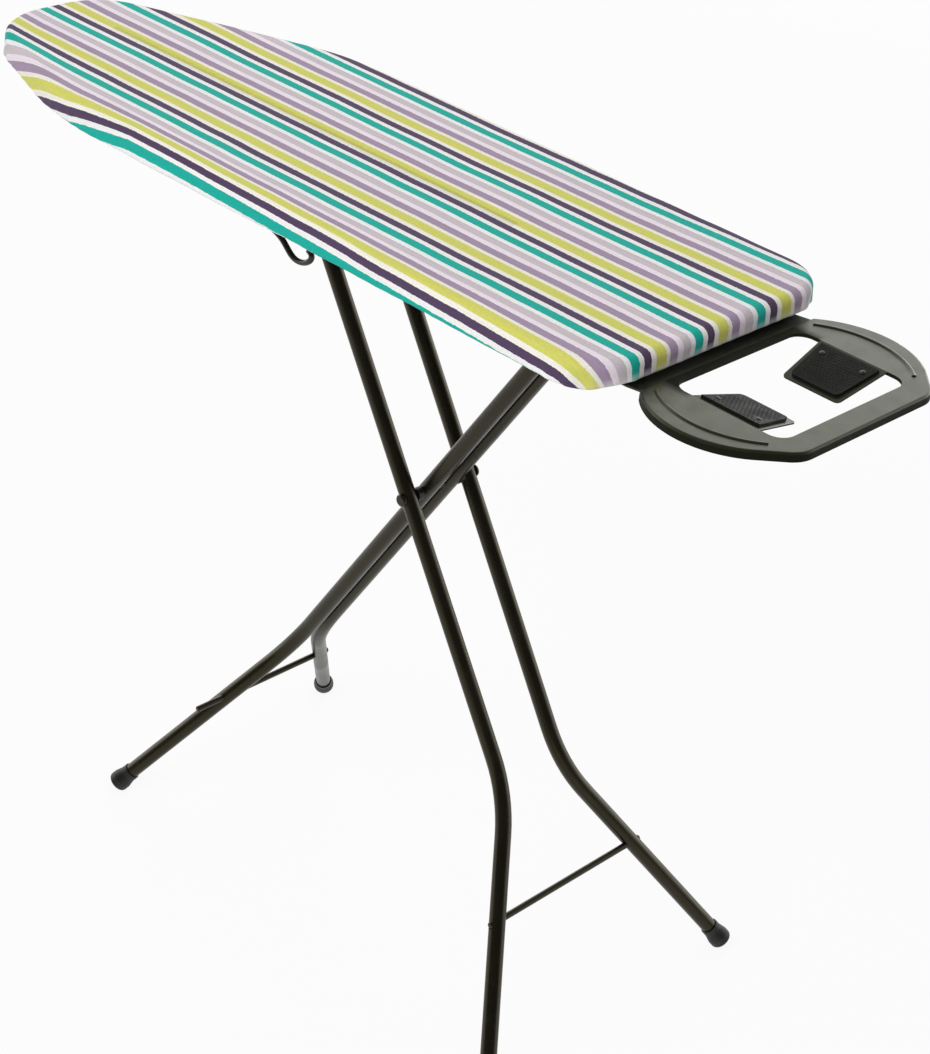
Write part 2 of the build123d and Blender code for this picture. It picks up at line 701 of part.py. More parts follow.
with BuildPart() as pad_rivets:
    for side in (1, -1):
        with BuildSketch(flap_plane(side).offset(pad_sheet)):
            with Locations((-rivet_pitch / 2, rivet_from_root), (rivet_pitch / 2, rivet_from_root)):
                Circle(rivet_radius)
        extrude(amount=rivet_height, taper=rivet_taper)
save(pad_rivets, "pad_rivets")

# Sloped rail between the board's end and the iron rest, screwed up into the rim
rail_half_length = rest_back_half_width - rest_edge_round - rest_sheet
rail_top = [(end_x - rest_rail_flange, skirt_z), (end_x, skirt_z), (rest_back_x, rest_z - rest_sheet),
            (rest_back_x + rest_rail_foot, rest_z - rest_sheet)]
rail_under = [(x, z - rest_rail_sheet) for x, z in reversed(rail_top)]
with BuildPart() as rest_rail:
    with BuildSketch(Plane(origin=(0, rail_half_length, 0), x_dir=(1, 0, 0), z_dir=(0, -1, 0))):
        with BuildLine():
            Polyline(*rail_top, *rail_under, close=True)
        make_face()
    extrude(amount=2 * rail_half_length)
    add(screw_holes, mode=Mode.SUBTRACT)
save(rest_rail, "rest_rail")

with BuildPart() as rest_screws:
    for spot in screw_spots:
        with BuildSketch(Plane(origin=(*spot, skirt_z - rest_rail_sheet))):
            Circle(screw_radius)
        extrude(amount=rest_rail_sheet + screw_grip)
        with BuildSketch(Plane(origin=(*spot, skirt_z - rest_rail_sheet))):
            Circle(screw_head_radius)
        extrude(amount=-screw_head_height, taper=screw_head_taper)
save(rest_screws, "rest_screws")
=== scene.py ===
import json
import math

import bmesh
import bpy
from mathutils import Matrix, Vector, noise


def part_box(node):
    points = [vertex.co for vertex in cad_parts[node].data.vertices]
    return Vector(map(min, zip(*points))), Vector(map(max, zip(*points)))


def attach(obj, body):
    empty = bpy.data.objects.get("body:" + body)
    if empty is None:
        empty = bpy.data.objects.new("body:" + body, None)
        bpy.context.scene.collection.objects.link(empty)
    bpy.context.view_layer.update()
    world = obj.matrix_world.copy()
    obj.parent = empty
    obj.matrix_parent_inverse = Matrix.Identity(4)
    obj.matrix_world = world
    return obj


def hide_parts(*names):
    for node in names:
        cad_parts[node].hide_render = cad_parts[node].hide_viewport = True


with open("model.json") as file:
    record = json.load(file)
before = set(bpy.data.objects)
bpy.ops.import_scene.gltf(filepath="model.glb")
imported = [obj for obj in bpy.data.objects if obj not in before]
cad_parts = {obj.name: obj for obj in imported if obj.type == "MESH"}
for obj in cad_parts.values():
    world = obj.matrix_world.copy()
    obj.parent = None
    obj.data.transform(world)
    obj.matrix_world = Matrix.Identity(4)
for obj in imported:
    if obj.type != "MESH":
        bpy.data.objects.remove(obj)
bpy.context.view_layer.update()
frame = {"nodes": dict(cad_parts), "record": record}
nodes = frame["nodes"]
print("frame loaded:", len(nodes), "nodes")


# small tools

def hexColor(code):
    channels = [int(code[i:i + 2], 16) / 255 for i in (1, 3, 5)]
    return tuple(c / 12.92 if c <= 0.04045 else ((c + 0.055) / 1.055) ** 2.4 for c in channels) + (1.0,)


def addNode(tree, kind, links=None, **settings):
    node = tree.nodes.new(kind)
    for name, value in settings.items():
        setattr(node, name, value)
    for socket, value in (links or {}).items():
        for each in value if isinstance(value, list) else [value]:
            if isinstance(each, bpy.types.NodeSocket):
                tree.links.new(each, node.inputs[socket])
            else:
                node.inputs[socket].default_value = each
    return node


def newMaterial(name, **sockets):
    material = bpy.data.materials.new(name)
    material.use_nodes = True
    shader = material.node_tree.nodes["Principled BSDF"]
    for socket, value in sockets.items():
        shader.inputs[socket.replace("_", " ")].default_value = value
    return material, material.node_tree, shader


def wireShader(tree, shader, **sockets):
    for socket, value in sockets.items():
        tree.links.new(value, shader.inputs[socket.replace("_", " ")])


def newObject(name, data):
    holder = bpy.data.objects.new(name, data)
    bpy.context.scene.collection.objects.link(holder)
    return holder


def newPiece(name, verts, faces, material, smooth=True):
    mesh = bpy.data.meshes.new(name)
    mesh.from_pydata([tuple(v) for v in verts], [], faces)
    mesh.materials.append(material)
    mesh.polygons.foreach_set("use_smooth", [smooth] * len(mesh.polygons))
    return newObject(name, mesh)


def plainMesh(piece, name):
    graph = bpy.context.evaluated_depsgraph_get()
    mesh = bpy.data.meshes.new_from_object(piece.evaluated_get(graph), depsgraph=graph)
    mesh.name = name
    return mesh


def mergeDoubles(piece, reach=0.00002):
    work = bmesh.new()
    work.from_mesh(piece.data)
    bmesh.ops.remove_doubles(work, verts=work.verts, dist=reach)
    bmesh.ops.dissolve_degenerate(work, edges=work.edges, dist=reach)
    bmesh.ops.recalc_face_normals(work, faces=work.faces)
    work.to_mesh(piece.data)
    work.free()


# a noise texture seldom goes past these values, so they are where its light and dark ends lie
noiseMid = {"From Min": 0.3, "From Max": 0.7}
noiseWide = {"From Min": 0.25, "From Max": 0.75}


def middle(nodeName):
    low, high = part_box(nodeName)
    return (low + high) / 2


# outline of the soft top: it follows the steel rim, but sits fuller on the near side of the nose

boardShape = dict(
    noseNear=-0.1095, noseNearRadius=0.100,
    shoulderNear=-0.412, shoulderNearRadius=0.450,
    cornerRadius=0.063,
    endOver=0.008,        # the pad and its cover stand out a little past the rim at the square end
    spacing=0.0036,
    # the rings of the top close on a middle line that stops this far short of the ends
    spineNose=0.11, spineEnd=0.14,
)
rimShape = dict(noseRadius=0.088, taperAngle=math.radians(21.8), shoulderRadius=0.300)
coverLow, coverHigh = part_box("cover")

# unevenness of the soft top: length of each wave in metres, and its seed
waves = dict(
    edgeLong=(0.075, 3.1), edgeShort=(0.028, 8.2),
    topLong=(0.11, 1.5), topShort=(0.045, 7.5),
    gatherShift=(0.07, 5.7), gatherDepth=(0.05, 2.3),
    hem=(0.06, 9.3), felt=(0.03, 4.4),
)


def roundedLoop(corners, spacing):
    loop = []
    count = len(corners)
    for i, (corner, radius) in enumerate(corners):
        before = (corner - corners[i - 1][0]).normalized()
        after = (corners[(i + 1) % count][0] - corner).normalized()
        turn = -before.angle_signed(after)
        reach = radius * math.tan(abs(turn) / 2)
        normal = Vector((before.y, -before.x))
        centre = corner - before * reach - normal * radius
        steps = max(4, round(radius * abs(turn) / spacing))
        for k in range(steps + 1):
            outward = Matrix.Rotation(turn * k / steps, 2) @ normal
            loop.append((centre + outward * radius, outward))
        nextCorner, nextRadius = corners[(i + 1) % count]
        nextAfter = (corners[(i + 2) % count][0] - nextCorner).normalized()
        nextReach = nextRadius * math.tan(abs(after.angle_signed(nextAfter)) / 2)
        begin = corner + after * reach
        stop = nextCorner - after * nextReach
        pieces = max(1, round((stop - begin).length / spacing))
        side = Vector((after.y, -after.x))
        loop += [(begin.lerp(stop, k / pieces), side) for k in range(1, pieces)]
    return loop


def boardOutline(spacing):
    shape = boardShape
    radius, taper = rimShape["noseRadius"], rimShape["taperAngle"]
    half = coverHigh.y
    end = coverHigh.x + shape["endOver"]
    slope = math.tan(taper)
    apex = coverLow.x + radius - radius / math.sin(taper)
    corners = [
        (Vector((coverLow.x, shape["noseNear"])), shape["noseNearRadius"]),
        (Vector((shape["shoulderNear"], -half)), shape["shoulderNearRadius"]),
        (Vector((end, -half)), shape["cornerRadius"]),
        (Vector((end, half)), shape["cornerRadius"]),
        (Vector((apex + half / slope, half)), rimShape["shoulderRadius"]),
        (Vector((coverLow.x, (coverLow.x - apex) * slope)), radius),
    ]
    return roundedLoop(corners, spacing)


def beyondRim(point):
    radius, taper = rimShape["noseRadius"], rimShape["taperAngle"]
    reach = point - Vector((coverLow.x + radius, 0))
    if -reach.x > reach.length * math.sin(taper):
        return max(0.0, reach.length - radius)
    return max(0.0, abs(reach.y) * math.cos(taper) - reach.x * math.sin(taper) - radius)


def spinePoint(point):
    first, last = coverLow.x + boardShape["spineNose"], coverHigh.x - boardShape["spineEnd"]
    return Vector((min(max(point.x, first), last), 0))


def ripple(place, wave):
    size, seed = waves[wave]
    return noise.noise(Vector((place.x / size, place.y / size, seed)))


def ringFaces(rows, count):
    faces = []
    for k in range(rows - 1):
        for i in range(count):
            j = (i + 1) % count
            faces.append((k * count + i, (k + 1) * count + i, (k + 1) * count + j, k * count + j))
    return faces


# cotton cover, drawn over the pad and turned in under the rim

cotton = dict(
    stripePeriod=0.095,
    tealCentre=-0.0365,
    # width of each band in millimetres, then its colour, from the near edge of the teal one to the far side
    bands=[
        (12.0, "#14AE9F"), (7.0, "#F3F2F1"), (11.0, "#54425F"), (7.0, "#F4F0E6"), (14.5, "#D6D56A"),
        (5.5, "#F3EEE2"), (11.5, "#A793AB"), (8.0, "#F1E6EE"), (11.5, "#CFC4CA"), (7.0, "#F1F3F3"),
    ],
    ground="#F0EFEC",
    endFade=0.55,
    edgeJitter=0.0009,
    threadPitch=0.0011,   # real thread is about 0.4 mm, drawn coarser so that it shows
    threadDepth=0.0003, threadStrength=0.25,
    streak=(0.090, 0.003),
    inkTone=(0.93, 1.05), inkHue=(0.508, 0.492), mottle=(0.95, 1.04),
)


def printedCotton():
    # printed plain-weave cotton: matt, with a soft nap at grazing angles and thread relief,
    # and ink that lies a little unevenly along each stripe
    material, tree, shader = newMaterial("printedCottonWeave", Roughness=0.88, Specular_IOR_Level=0.22,
            Sheen_Weight=0.07, Sheen_Roughness=0.5)
    flat = addNode(tree, "ShaderNodeAttribute", attribute_name="clothFlat").outputs["Vector"]
    split = addNode(tree, "ShaderNodeSeparateXYZ", {"Vector": flat}).outputs
    threads = addNode(tree, "ShaderNodeTexNoise", {"Vector": flat, "Scale": 1 / (3 * cotton["threadPitch"]),
            "Detail": 2.0}).outputs["Fac"]
    wander = cotton["edgeJitter"]
    jitter = addNode(tree, "ShaderNodeMath", {0: threads, 1: 2 * wander, 2: -wander},
            operation="MULTIPLY_ADD").outputs[0]
    halfTeal = cotton["bands"][0][0] / 2000
    phase = split["Y"]
    for value, step in ((jitter, "ADD"), (halfTeal - cotton["tealCentre"], "ADD"),
            (cotton["stripePeriod"], "DIVIDE"), (1.0, "FRACT")):
        phase = addNode(tree, "ShaderNodeMath", {0: phase, 1: value}, operation=step).outputs[0]
    ramp = addNode(tree, "ShaderNodeValToRGB", {"Fac": phase})
    stops = ramp.color_ramp.elements
    stops.remove(stops[-1])
    ramp.color_ramp.interpolation = "CONSTANT"
    total = sum(width for width, code in cotton["bands"])
    place = 0.0
    for i, (width, code) in enumerate(cotton["bands"]):
        stop = stops.new(place / total) if i else stops[0]
        stop.position = place / total
        stop.color = hexColor(code)
        place += width
    long, wide = cotton["streak"]
    stretch = addNode(tree, "ShaderNodeMapping", {"Vector": flat,
            "Scale": (1 / long, 1 / wide, 1)}).outputs[0]
    streaks = addNode(tree, "ShaderNodeTexNoise", {"Vector": stretch, "Scale": 1.0, "Detail": 4.0,
            "Roughness": 0.6}).outputs["Fac"]
    inkTone, inkHue = [addNode(tree, "ShaderNodeMapRange", {
        "Value": streaks, **noiseWide, "To Min": low, "To Max": high,
    }).outputs[0] for low, high in (cotton["inkTone"], cotton["inkHue"])]
    inked = addNode(tree, "ShaderNodeHueSaturation", {"Color": ramp.outputs["Color"], "Hue": inkHue,
            "Value": inkTone}).outputs[0]
    low, high = cotton["mottle"]
    mottle = addNode(tree, "ShaderNodeMapRange", {"Value": threads, **noiseMid,
            "To Min": low, "To Max": high}).outputs[0]
    tint = addNode(tree, "ShaderNodeMix", {"Factor": 1.0, 6: inked, 7: mottle}, data_type="RGBA",
                   blend_type="MULTIPLY").outputs[2]
    faded = addNode(tree, "ShaderNodeMath", {0: split["Z"], 1: cotton["endFade"]},
                    operation="MULTIPLY").outputs[0]
    tint = addNode(tree, "ShaderNodeMix", {"Factor": faded, 6: tint, 7: hexColor(cotton["ground"])},
                   data_type="RGBA").outputs[2]
    crests = []
    for side in ("Y", "X"):
        thread = addNode(tree, "ShaderNodeMath", {0: split[side], 1: math.pi / cotton["threadPitch"]},
                operation="MULTIPLY").outputs[0]
        crests.append(addNode(tree, "ShaderNodeMath", {0: thread}, operation="SINE").outputs[0])
    weave = addNode(tree, "ShaderNodeMath", {0: crests[0], 1: crests[1]}, operation="MULTIPLY").outputs[0]
    relief = addNode(tree, "ShaderNodeBump", {"Height": weave, "Strength": cotton["threadStrength"],
            "Distance": cotton["threadDepth"]}).outputs["Normal"]
    wireShader(tree, shader, Base_Color=tint, Normal=relief)
    return material


coverCut = dict(
    cloth=0.0012,
    topRings=20, ringShare=0.8,     # the rings lie closer together towards the edge
    unevenTop=0.0006, unevenShort=0.6, topSink=0.0005,  # the felt below is never quite flat
    edgeRound=0.011, edgeSteps=8,
    slackEdge=0.0014, slackShort=0.4,  # how far the drawn edge wanders in and out
    skirtRings=8, skirtLean=0.0004,
    gatherLength=0.023, gatherShift=3.5, gatherSharp=1.6, gatherTaper=1.2, gatherLift=0.3,
    gatherMean=0.65, gatherSwell=0.35,
    gatherStraight=0.0011,
    gatherCurve=0.0026,   # more cloth to take in round the nose and the corners
    bendReach=9, bendGain=1.8, bendLeast=0.05,
    hemRings=5, hemTurn=0.0022, hemWidth=0.016, turnShare=0.4,
    hemWander=0.0018,
    hemDrop=0.0012,
    hemDropNear=0.0020, hemDropBlend=0.08,  # hangs lower still on the near side, from the lever to the nose
    # at the square end the cloth stops short, above the rail of the iron rest
    endHemRise=0.0062, endHemWidth=0.0110, endHemHalf=0.150, endHemBlend=0.060, endHemSoon=4,
    endPale=0.0075,       # height of the paler strip there, where the colour goes over into the plain ground towards the hem
)
# the print: drawn down further on the near side, most of all before the nose, and slack again past the fold
printPull = dict(
    start=0.040, share=0.40, end=0.43, length=0.48, curve=0.8, most=1.15,
    stop=-0.44, fade=0.17, least=0.32, turn=0.047, slack=1.12,
    spread=0.06, spreadCentre=-0.05, spreadLength=0.47,
)


def printPlace(flat, point, normal):
    pull = printPull
    x, y = flat
    if y > 0:
        return x, y * (1 - pull["spread"] * ((x - pull["spreadCentre"]) / pull["spreadLength"]) ** 2)
    force = min(pull["most"], (max(0.0, pull["end"] - x) / pull["length"]) ** pull["curve"])
    force *= min(1.0, max(pull["least"], (x - pull["stop"]) / pull["fade"]))
    past = max(0.0, pull["start"] + (flat - point).dot(normal))
    past -= pull["slack"] * max(0.0, past - pull["turn"])
    return x, y + pull["share"] * force * past * min(0.0, normal.y)


def endRise(point):
    around = abs(point.y) + max(0.0, coverHigh.x + boardShape["endOver"] - point.x)
    share = min(1.0, max(0.0, 1 - (around - coverCut["endHemHalf"]) / coverCut["endHemBlend"]))
    return share * share * (3 - 2 * share) if point.x > 0 else 0.0


def edgeSlack(point):
    wander = ripple(point, "edgeLong") + coverCut["slackShort"] * ripple(point, "edgeShort")
    return coverCut["slackEdge"] * wander


# each row below is a list of (place, flat place), one for each point of the outline

def topRows(loop):
    cut = coverCut
    rows = []
    for k in range(cut["topRings"] + 1):
        share = (k / cut["topRings"]) ** cut["ringShare"]
        row = []
        for point, normal in loop:
            rounded = point - normal * (cut["edgeRound"] - edgeSlack(point) * 0.5)
            place = spinePoint(point).lerp(rounded, share)
            uneven = ripple(place, "topLong") + cut["unevenShort"] * ripple(place, "topShort")
            row.append((Vector((*place, coverHigh.z + cut["unevenTop"] * uneven - cut["topSink"])), place))
        rows.append(row)
    return rows


def edgeRows(loop, topEdge):
    ring, steps = coverCut["edgeRound"], coverCut["edgeSteps"]
    rows = []
    for k in range(1, steps + 1):
        angle = math.pi / 2 * k / steps
        row = []
        for (point, normal), (start, flat) in zip(loop, topEdge):
            out = edgeSlack(point) * (0.5 + 0.5 * k / steps) - ring * (1 - math.sin(angle))
            height = start.z - ring * (1 - math.cos(angle))
            row.append((Vector((*(point + normal * out), height)), point - normal * ring * (1 - angle)))
        rows.append(row)
    return rows


def gatherDepth(loop, i):
    cut = coverCut
    bend = loop[(i + cut["bendReach"]) % len(loop)][1].angle_signed(loop[i - cut["bendReach"]][1])
    curl = max(abs(bend) * cut["bendGain"] - cut["bendLeast"], 0)
    return cut["gatherStraight"] + (cut["gatherCurve"] - cut["gatherStraight"]) * min(1, curl)


def skirtRows(loop, shoulder):
    cut = coverCut
    tucks, drops = [], []
    arc = 0.0
    for i, (point, normal) in enumerate(loop):
        arc += (point - loop[max(0, i - 1)][0]).length
        phase = 2 * math.pi * arc / cut["gatherLength"] + cut["gatherShift"] * ripple(point, "gatherShift")
        swell = cut["gatherMean"] + cut["gatherSwell"] * ripple(point, "gatherDepth")
        tuck = gatherDepth(loop, i) * swell * (0.5 + 0.5 * math.sin(phase)) ** cut["gatherSharp"]
        wander = cut["hemWander"] * (0.5 + 0.5 * ripple(point, "hem")) + cut["gatherLift"] * tuck
        nearShare = min(1.0, max(0.0, -point.x / cut["hemDropBlend"])) if point.y < 0 else 0.0
        tucks.append(tuck)
        drops.append(coverLow.z + cut["hemTurn"] + wander - cut["hemDrop"] - cut["hemDropNear"] * nearShare
                + cut["endHemRise"] * endRise(point))
    rows = []
    for k in range(1, cut["skirtRings"] + 1):
        share = k / cut["skirtRings"]
        row = []
        for (point, normal), (edge, flat), tuck, drop in zip(loop, shoulder, tucks, drops):
            lean = edgeSlack(point) * (1 - share) - cut["skirtLean"] * share
            lean += tuck * share ** cut["gatherTaper"]
            height = edge.z + (drop - edge.z) * share
            down = cut["edgeRound"] * (math.pi / 2 - 1) + (edge.z - height)
            row.append((Vector((*(point + normal * lean), height)), point + normal * down))
        rows.append(row)
    return rows


def hemRows(loop, lowest):
    cut = coverCut
    rows = []
    for k in range(1, cut["hemRings"] + 1):
        share = k / cut["hemRings"]
        turned = min(1.0, share / cut["turnShare"]) * math.pi / 2
        flatShare = max(0.0, (share - cut["turnShare"]) / (1 - cut["turnShare"]))
        row = []
        for (point, normal), (low, flat) in zip(loop, lowest):
            shorter = min(1.0, cut["endHemSoon"] * endRise(point))
            width = (cut["hemWidth"] + beyondRim(point)) * (1 - shorter) + cut["endHemWidth"] * shorter
            inward = cut["hemTurn"] * (1 - math.cos(turned)) + (width - cut["hemTurn"]) * flatShare
            place = low - Vector((*normal, 0)) * inward
            place.z = low.z - cut["hemTurn"] * math.sin(turned)
            row.append((place, flat + normal * (cut["hemTurn"] + inward)))
        rows.append(row)
    return rows


def makeCover(material):
    loop = boardOutline(boardShape["spacing"])
    rows = topRows(loop)
    rows += edgeRows(loop, rows[-1])
    rows += skirtRows(loop, rows[-1])
    lowest = rows[-1]
    rows += hemRows(loop, lowest)
    verts = [place for row in rows for place, flat in row]
    piece = newPiece("cottonCover", verts, ringFaces(len(rows), len(loop)), material)
    flats = []
    for row in rows:
        for (place, flat), (point, normal), (low, edge) in zip(row, loop, lowest):
            pale = endRise(point) * max(0.0, min(1.0, 1 - (place.z - low.z) / coverCut["endPale"]))
            flats += [*printPlace(flat, point, normal), pale]
    piece.data.attributes.new("clothFlat", "FLOAT_VECTOR", "POINT").data.foreach_set("vector", flats)
    mergeDoubles(piece)
    area = sum(face.area for face in piece.data.polygons)
    wall = piece.modifiers.new("clothWall", "SOLIDIFY")
    wall.thickness = coverCut["cloth"]
    wall.offset = -1
    return piece, area, [place for place, flat in rows[-2]]


cottonMaterial = printedCotton()
coverPiece, coverArea, stitchRow = makeCover(cottonMaterial)
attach(coverPiece, "board")
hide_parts("cover")
print("cover made, cloth area", round(coverArea, 4))


# felt pad under the cover

feltCut = dict(
    inset=0.0024, skinGap=0.0016, crown=0.0007, uneven=0.0003,
    edgeRound=0.0034, edgeSteps=4, edgeSink=0.0006,
    topRings=8, spacing=0.012,
    fiber=0.0022, fuzz=0.0005, fuzzStrength=0.6, flecks=((0.35, "#A9A59B"), (0.62, "#DAD6CC")),
)


def needledFelt():
    # needle-punched felt: matt, tangled short fibres, grey flecks of reclaimed wool
    material, tree, shader = newMaterial("needledFelt", Roughness=0.96, Specular_IOR_Level=0.1,
            Sheen_Weight=0.3)
    place = addNode(tree, "ShaderNodeTexCoord").outputs["Object"]
    fibers = addNode(tree, "ShaderNodeTexNoise", {"Vector": place, "Scale": 1 / feltCut["fiber"],
            "Detail": 6.0, "Roughness": 0.7,
            "Distortion": 1.5}).outputs["Fac"]
    ramp = addNode(tree, "ShaderNodeValToRGB", {"Fac": fibers})
    for stop, (spot, code) in zip(ramp.color_ramp.elements, feltCut["flecks"]):
        stop.position = spot
        stop.color = hexColor(code)
    relief = addNode(tree, "ShaderNodeBump", {"Height": fibers, "Strength": feltCut["fuzzStrength"],
            "Distance": feltCut["fuzz"]}).outputs["Normal"]
    wireShader(tree, shader, Base_Color=ramp.outputs["Color"], Normal=relief)
    return material


def makeFelt(material):
    cut = feltCut
    low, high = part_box("felt_pad")
    top = high.z - cut["skinGap"]
    loop = boardOutline(cut["spacing"])
    ring = cut["edgeRound"]
    rows = []
    for k in range(cut["topRings"] + 1):
        share = k / cut["topRings"]
        row = []
        for point, normal in loop:
            place = spinePoint(point).lerp(point - normal * (cut["inset"] + ring), share)
            height = top - cut["crown"] * share ** 2 + cut["uneven"] * (ripple(point, "felt") - 1)
            row.append((*place, height))
        rows.append(row)
    for k in range(1, cut["edgeSteps"] + 1):
        angle = math.pi / 2 * k / cut["edgeSteps"]
        inset = cut["inset"] + ring * (1 - math.sin(angle))
        height = top - cut["crown"] - cut["edgeSink"] - ring * (1 - math.cos(angle))
        rows.append([(*(point - normal * inset), height) for point, normal in loop])
    under = [rows[-1]] + rows[cut["topRings"]::-2]
    rows += [[(x, y, low.z) for x, y, height in row] for row in under]
    verts = [place for row in rows for place in row]
    piece = newPiece("feltPad", verts, ringFaces(len(rows), len(loop)), material)
    mergeDoubles(piece)
    return piece


feltMaterial = needledFelt()
feltPiece = makeFelt(feltMaterial)
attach(feltPiece, "board")
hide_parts("felt_pad")
print("felt pad made")


# finishes of the steel and plastic parts

enamel = dict(glossy=0.82, dulled=1.22, peelFlat=5)
tubeLook = dict(
    color="#0E0B08", shade="#15120E", sheen="#FFF4C4", specular=0.38, roughness=0.30,
    patchSize=0.040, peelSize=0.0018, peel=0.10,
    scuffHeight=0.16, scuffSize=0.006, scuffFrom=0.60, scuffFull=0.68, scuffDull=0.35, scuff="#33312B",
)
underLook = dict(
    color="#151612", shade="#1D1E1A", sheen="#FFFDF0", specular=0.4, roughness=0.42,
    patchSize=0.030, peelSize=0.0016, peel=0.15,
)
railLook = dict(
    color="#16170F", shade="#1E1F17", sheen="#FFFDF0", specular=0.45, roughness=0.36,
    patchSize=0.025, peelSize=0.0015, peel=0.15,
)
restLook = dict(
    color="#1D1E15", shade="#25261C", sheen="#FCFFD8", specular=0.55, roughness=0.32,
    patchSize=0.018, peelSize=0.0012, peel=0.22,
    # painted shade: the strip by the rail and the steep sides of the pressing are painted dark, as less
    # light falls on them
    shadedStripEdge=0.503, shadedStripHalf=0.100, shadedStripSoft=0.006,
    shadedWallTurn=(0.12, 0.62), paintedShadeDull=0.25, paintedShadeSpecular=0.08,
)
leverLook = dict(
    color="#0C0D0A", shade="#151612", sheen="#FFFDF0", specular=0.45, roughness=0.28,
    patchSize=0.012, peelSize=0.0012, peel=0.10,
)


def scuffMarks(tree, look, place, color, gloss):
    # knocks from shoes and the vacuum cleaner, low on the legs
    height = addNode(tree, "ShaderNodeSeparateXYZ", {"Vector": place}).outputs["Z"]
    near = addNode(tree, "ShaderNodeMapRange", {"Value": height, "From Max": look["scuffHeight"],
            "To Min": 1.0, "To Max": 0.0}).outputs[0]
    marks = addNode(tree, "ShaderNodeTexNoise", {"Vector": place, "Scale": 1 / look["scuffSize"],
            "Detail": 5.0, "Roughness": 0.75}).outputs["Fac"]
    spots = addNode(tree, "ShaderNodeMapRange", {"Value": marks, "From Min": look["scuffFrom"],
            "From Max": look["scuffFull"]}).outputs[0]
    worn = addNode(tree, "ShaderNodeMath", {0: spots, 1: near}, operation="MULTIPLY").outputs[0]
    color = addNode(tree, "ShaderNodeMix", {"Factor": worn, 6: color, 7: hexColor(look["scuff"])},
                    data_type="RGBA").outputs[2]
    gloss = addNode(tree, "ShaderNodeMath", {0: worn, 1: look["scuffDull"], 2: gloss},
                    operation="MULTIPLY_ADD").outputs[0]
    return color, gloss


# painted shade: the strip next to the rail, which the board's end shades, and the turned-down wall and
# other steep sides, which the light reaches less, are painted in the rail's black, duller and less
# reflective
def paintedShadeOnRest(tree, look, place, color, gloss):
    # the strip next to the rail was sprayed black along with it, and the turned-down wall is as dark
    sides = addNode(tree, "ShaderNodeSeparateXYZ", {"Vector": place}).outputs
    across = addNode(tree, "ShaderNodeMath", {0: sides["Y"]}, operation="ABSOLUTE").outputs[0]
    facing = addNode(tree, "ShaderNodeNewGeometry").outputs["Normal"]
    upward = addNode(tree, "ShaderNodeSeparateXYZ", {"Vector": facing}).outputs["Z"]
    edge, half, soft = look["shadedStripEdge"], look["shadedStripHalf"], look["shadedStripSoft"]
    back, inside, wall = [addNode(tree, "ShaderNodeMapRange", {
        "Value": value, "From Min": first, "From Max": last, "To Min": 1.0, "To Max": 0.0,
    }).outputs[0] for value, first, last in (
        (sides["X"], edge, edge + soft), (across, half, half + 2 * soft), (upward, *look["shadedWallTurn"]))]
    strip = addNode(tree, "ShaderNodeMath", {0: back, 1: inside}, operation="MULTIPLY").outputs[0]
    paintedShadeMask = addNode(tree, "ShaderNodeMath", {0: strip, 1: wall}, operation="MAXIMUM").outputs[0]
    color = addNode(tree, "ShaderNodeMix", {"Factor": paintedShadeMask, 6: color, 7: hexColor(railLook["color"])},
                    data_type="RGBA").outputs[2]
    gloss = addNode(tree, "ShaderNodeMath", {0: paintedShadeMask, 1: look["paintedShadeDull"], 2: gloss},
                    operation="MULTIPLY_ADD").outputs[0]
    shine = addNode(tree, "ShaderNodeMapRange", {"Value": paintedShadeMask, "To Min": look["specular"],
            "To Max": look["paintedShadeSpecular"]}).outputs[0]
    return color, gloss, shine


def stoveEnamel(name, look):
    # sprayed and baked enamel on steel: one even skin, faint orange peel, gloss a little dulled in patches
    material, tree, shader = newMaterial(name, Specular_IOR_Level=look["specular"],
            Specular_Tint=hexColor(look["sheen"]))
    place = addNode(tree, "ShaderNodeTexCoord").outputs["Object"]
    patches = addNode(tree, "ShaderNodeTexNoise", {"Vector": place, "Scale": 1 / look["patchSize"],
            "Detail": 4.0}).outputs["Fac"]
    color = addNode(tree, "ShaderNodeMix", {"Factor": patches, 6: hexColor(look["color"]),
            7: hexColor(look["shade"])}, data_type="RGBA").outputs[2]
    gloss = addNode(tree, "ShaderNodeMapRange", {"Value": patches, **noiseMid,
            "To Min": look["roughness"] * enamel["glossy"],
            "To Max": look["roughness"] * enamel["dulled"]}).outputs[0]
    if "scuff" in look:
        color, gloss = scuffMarks(tree, look, place, color, gloss)
    # on the iron rest: painted shade on the strip by the rail and on the steep sides
    if "shadedStripEdge" in look:
        color, gloss, shine = paintedShadeOnRest(tree, look, place, color, gloss)
        wireShader(tree, shader, Specular_IOR_Level=shine)
    peel = addNode(tree, "ShaderNodeTexNoise", {"Vector": place, "Scale": 1 / look["peelSize"],
            "Detail": 2.0}).outputs["Fac"]
    relief = addNode(tree, "ShaderNodeBump", {"Height": peel, "Strength": look["peel"],
            "Distance": look["peelSize"] / enamel["peelFlat"]}).outputs["Normal"]
    wireShader(tree, shader, Base_Color=color, Roughness=gloss, Normal=relief)
    return material


moulding = dict(grain=0.0009, grainFlat=4, grainStrength=0.35, blush=0.014, glossy=0.88, chalky=1.12)


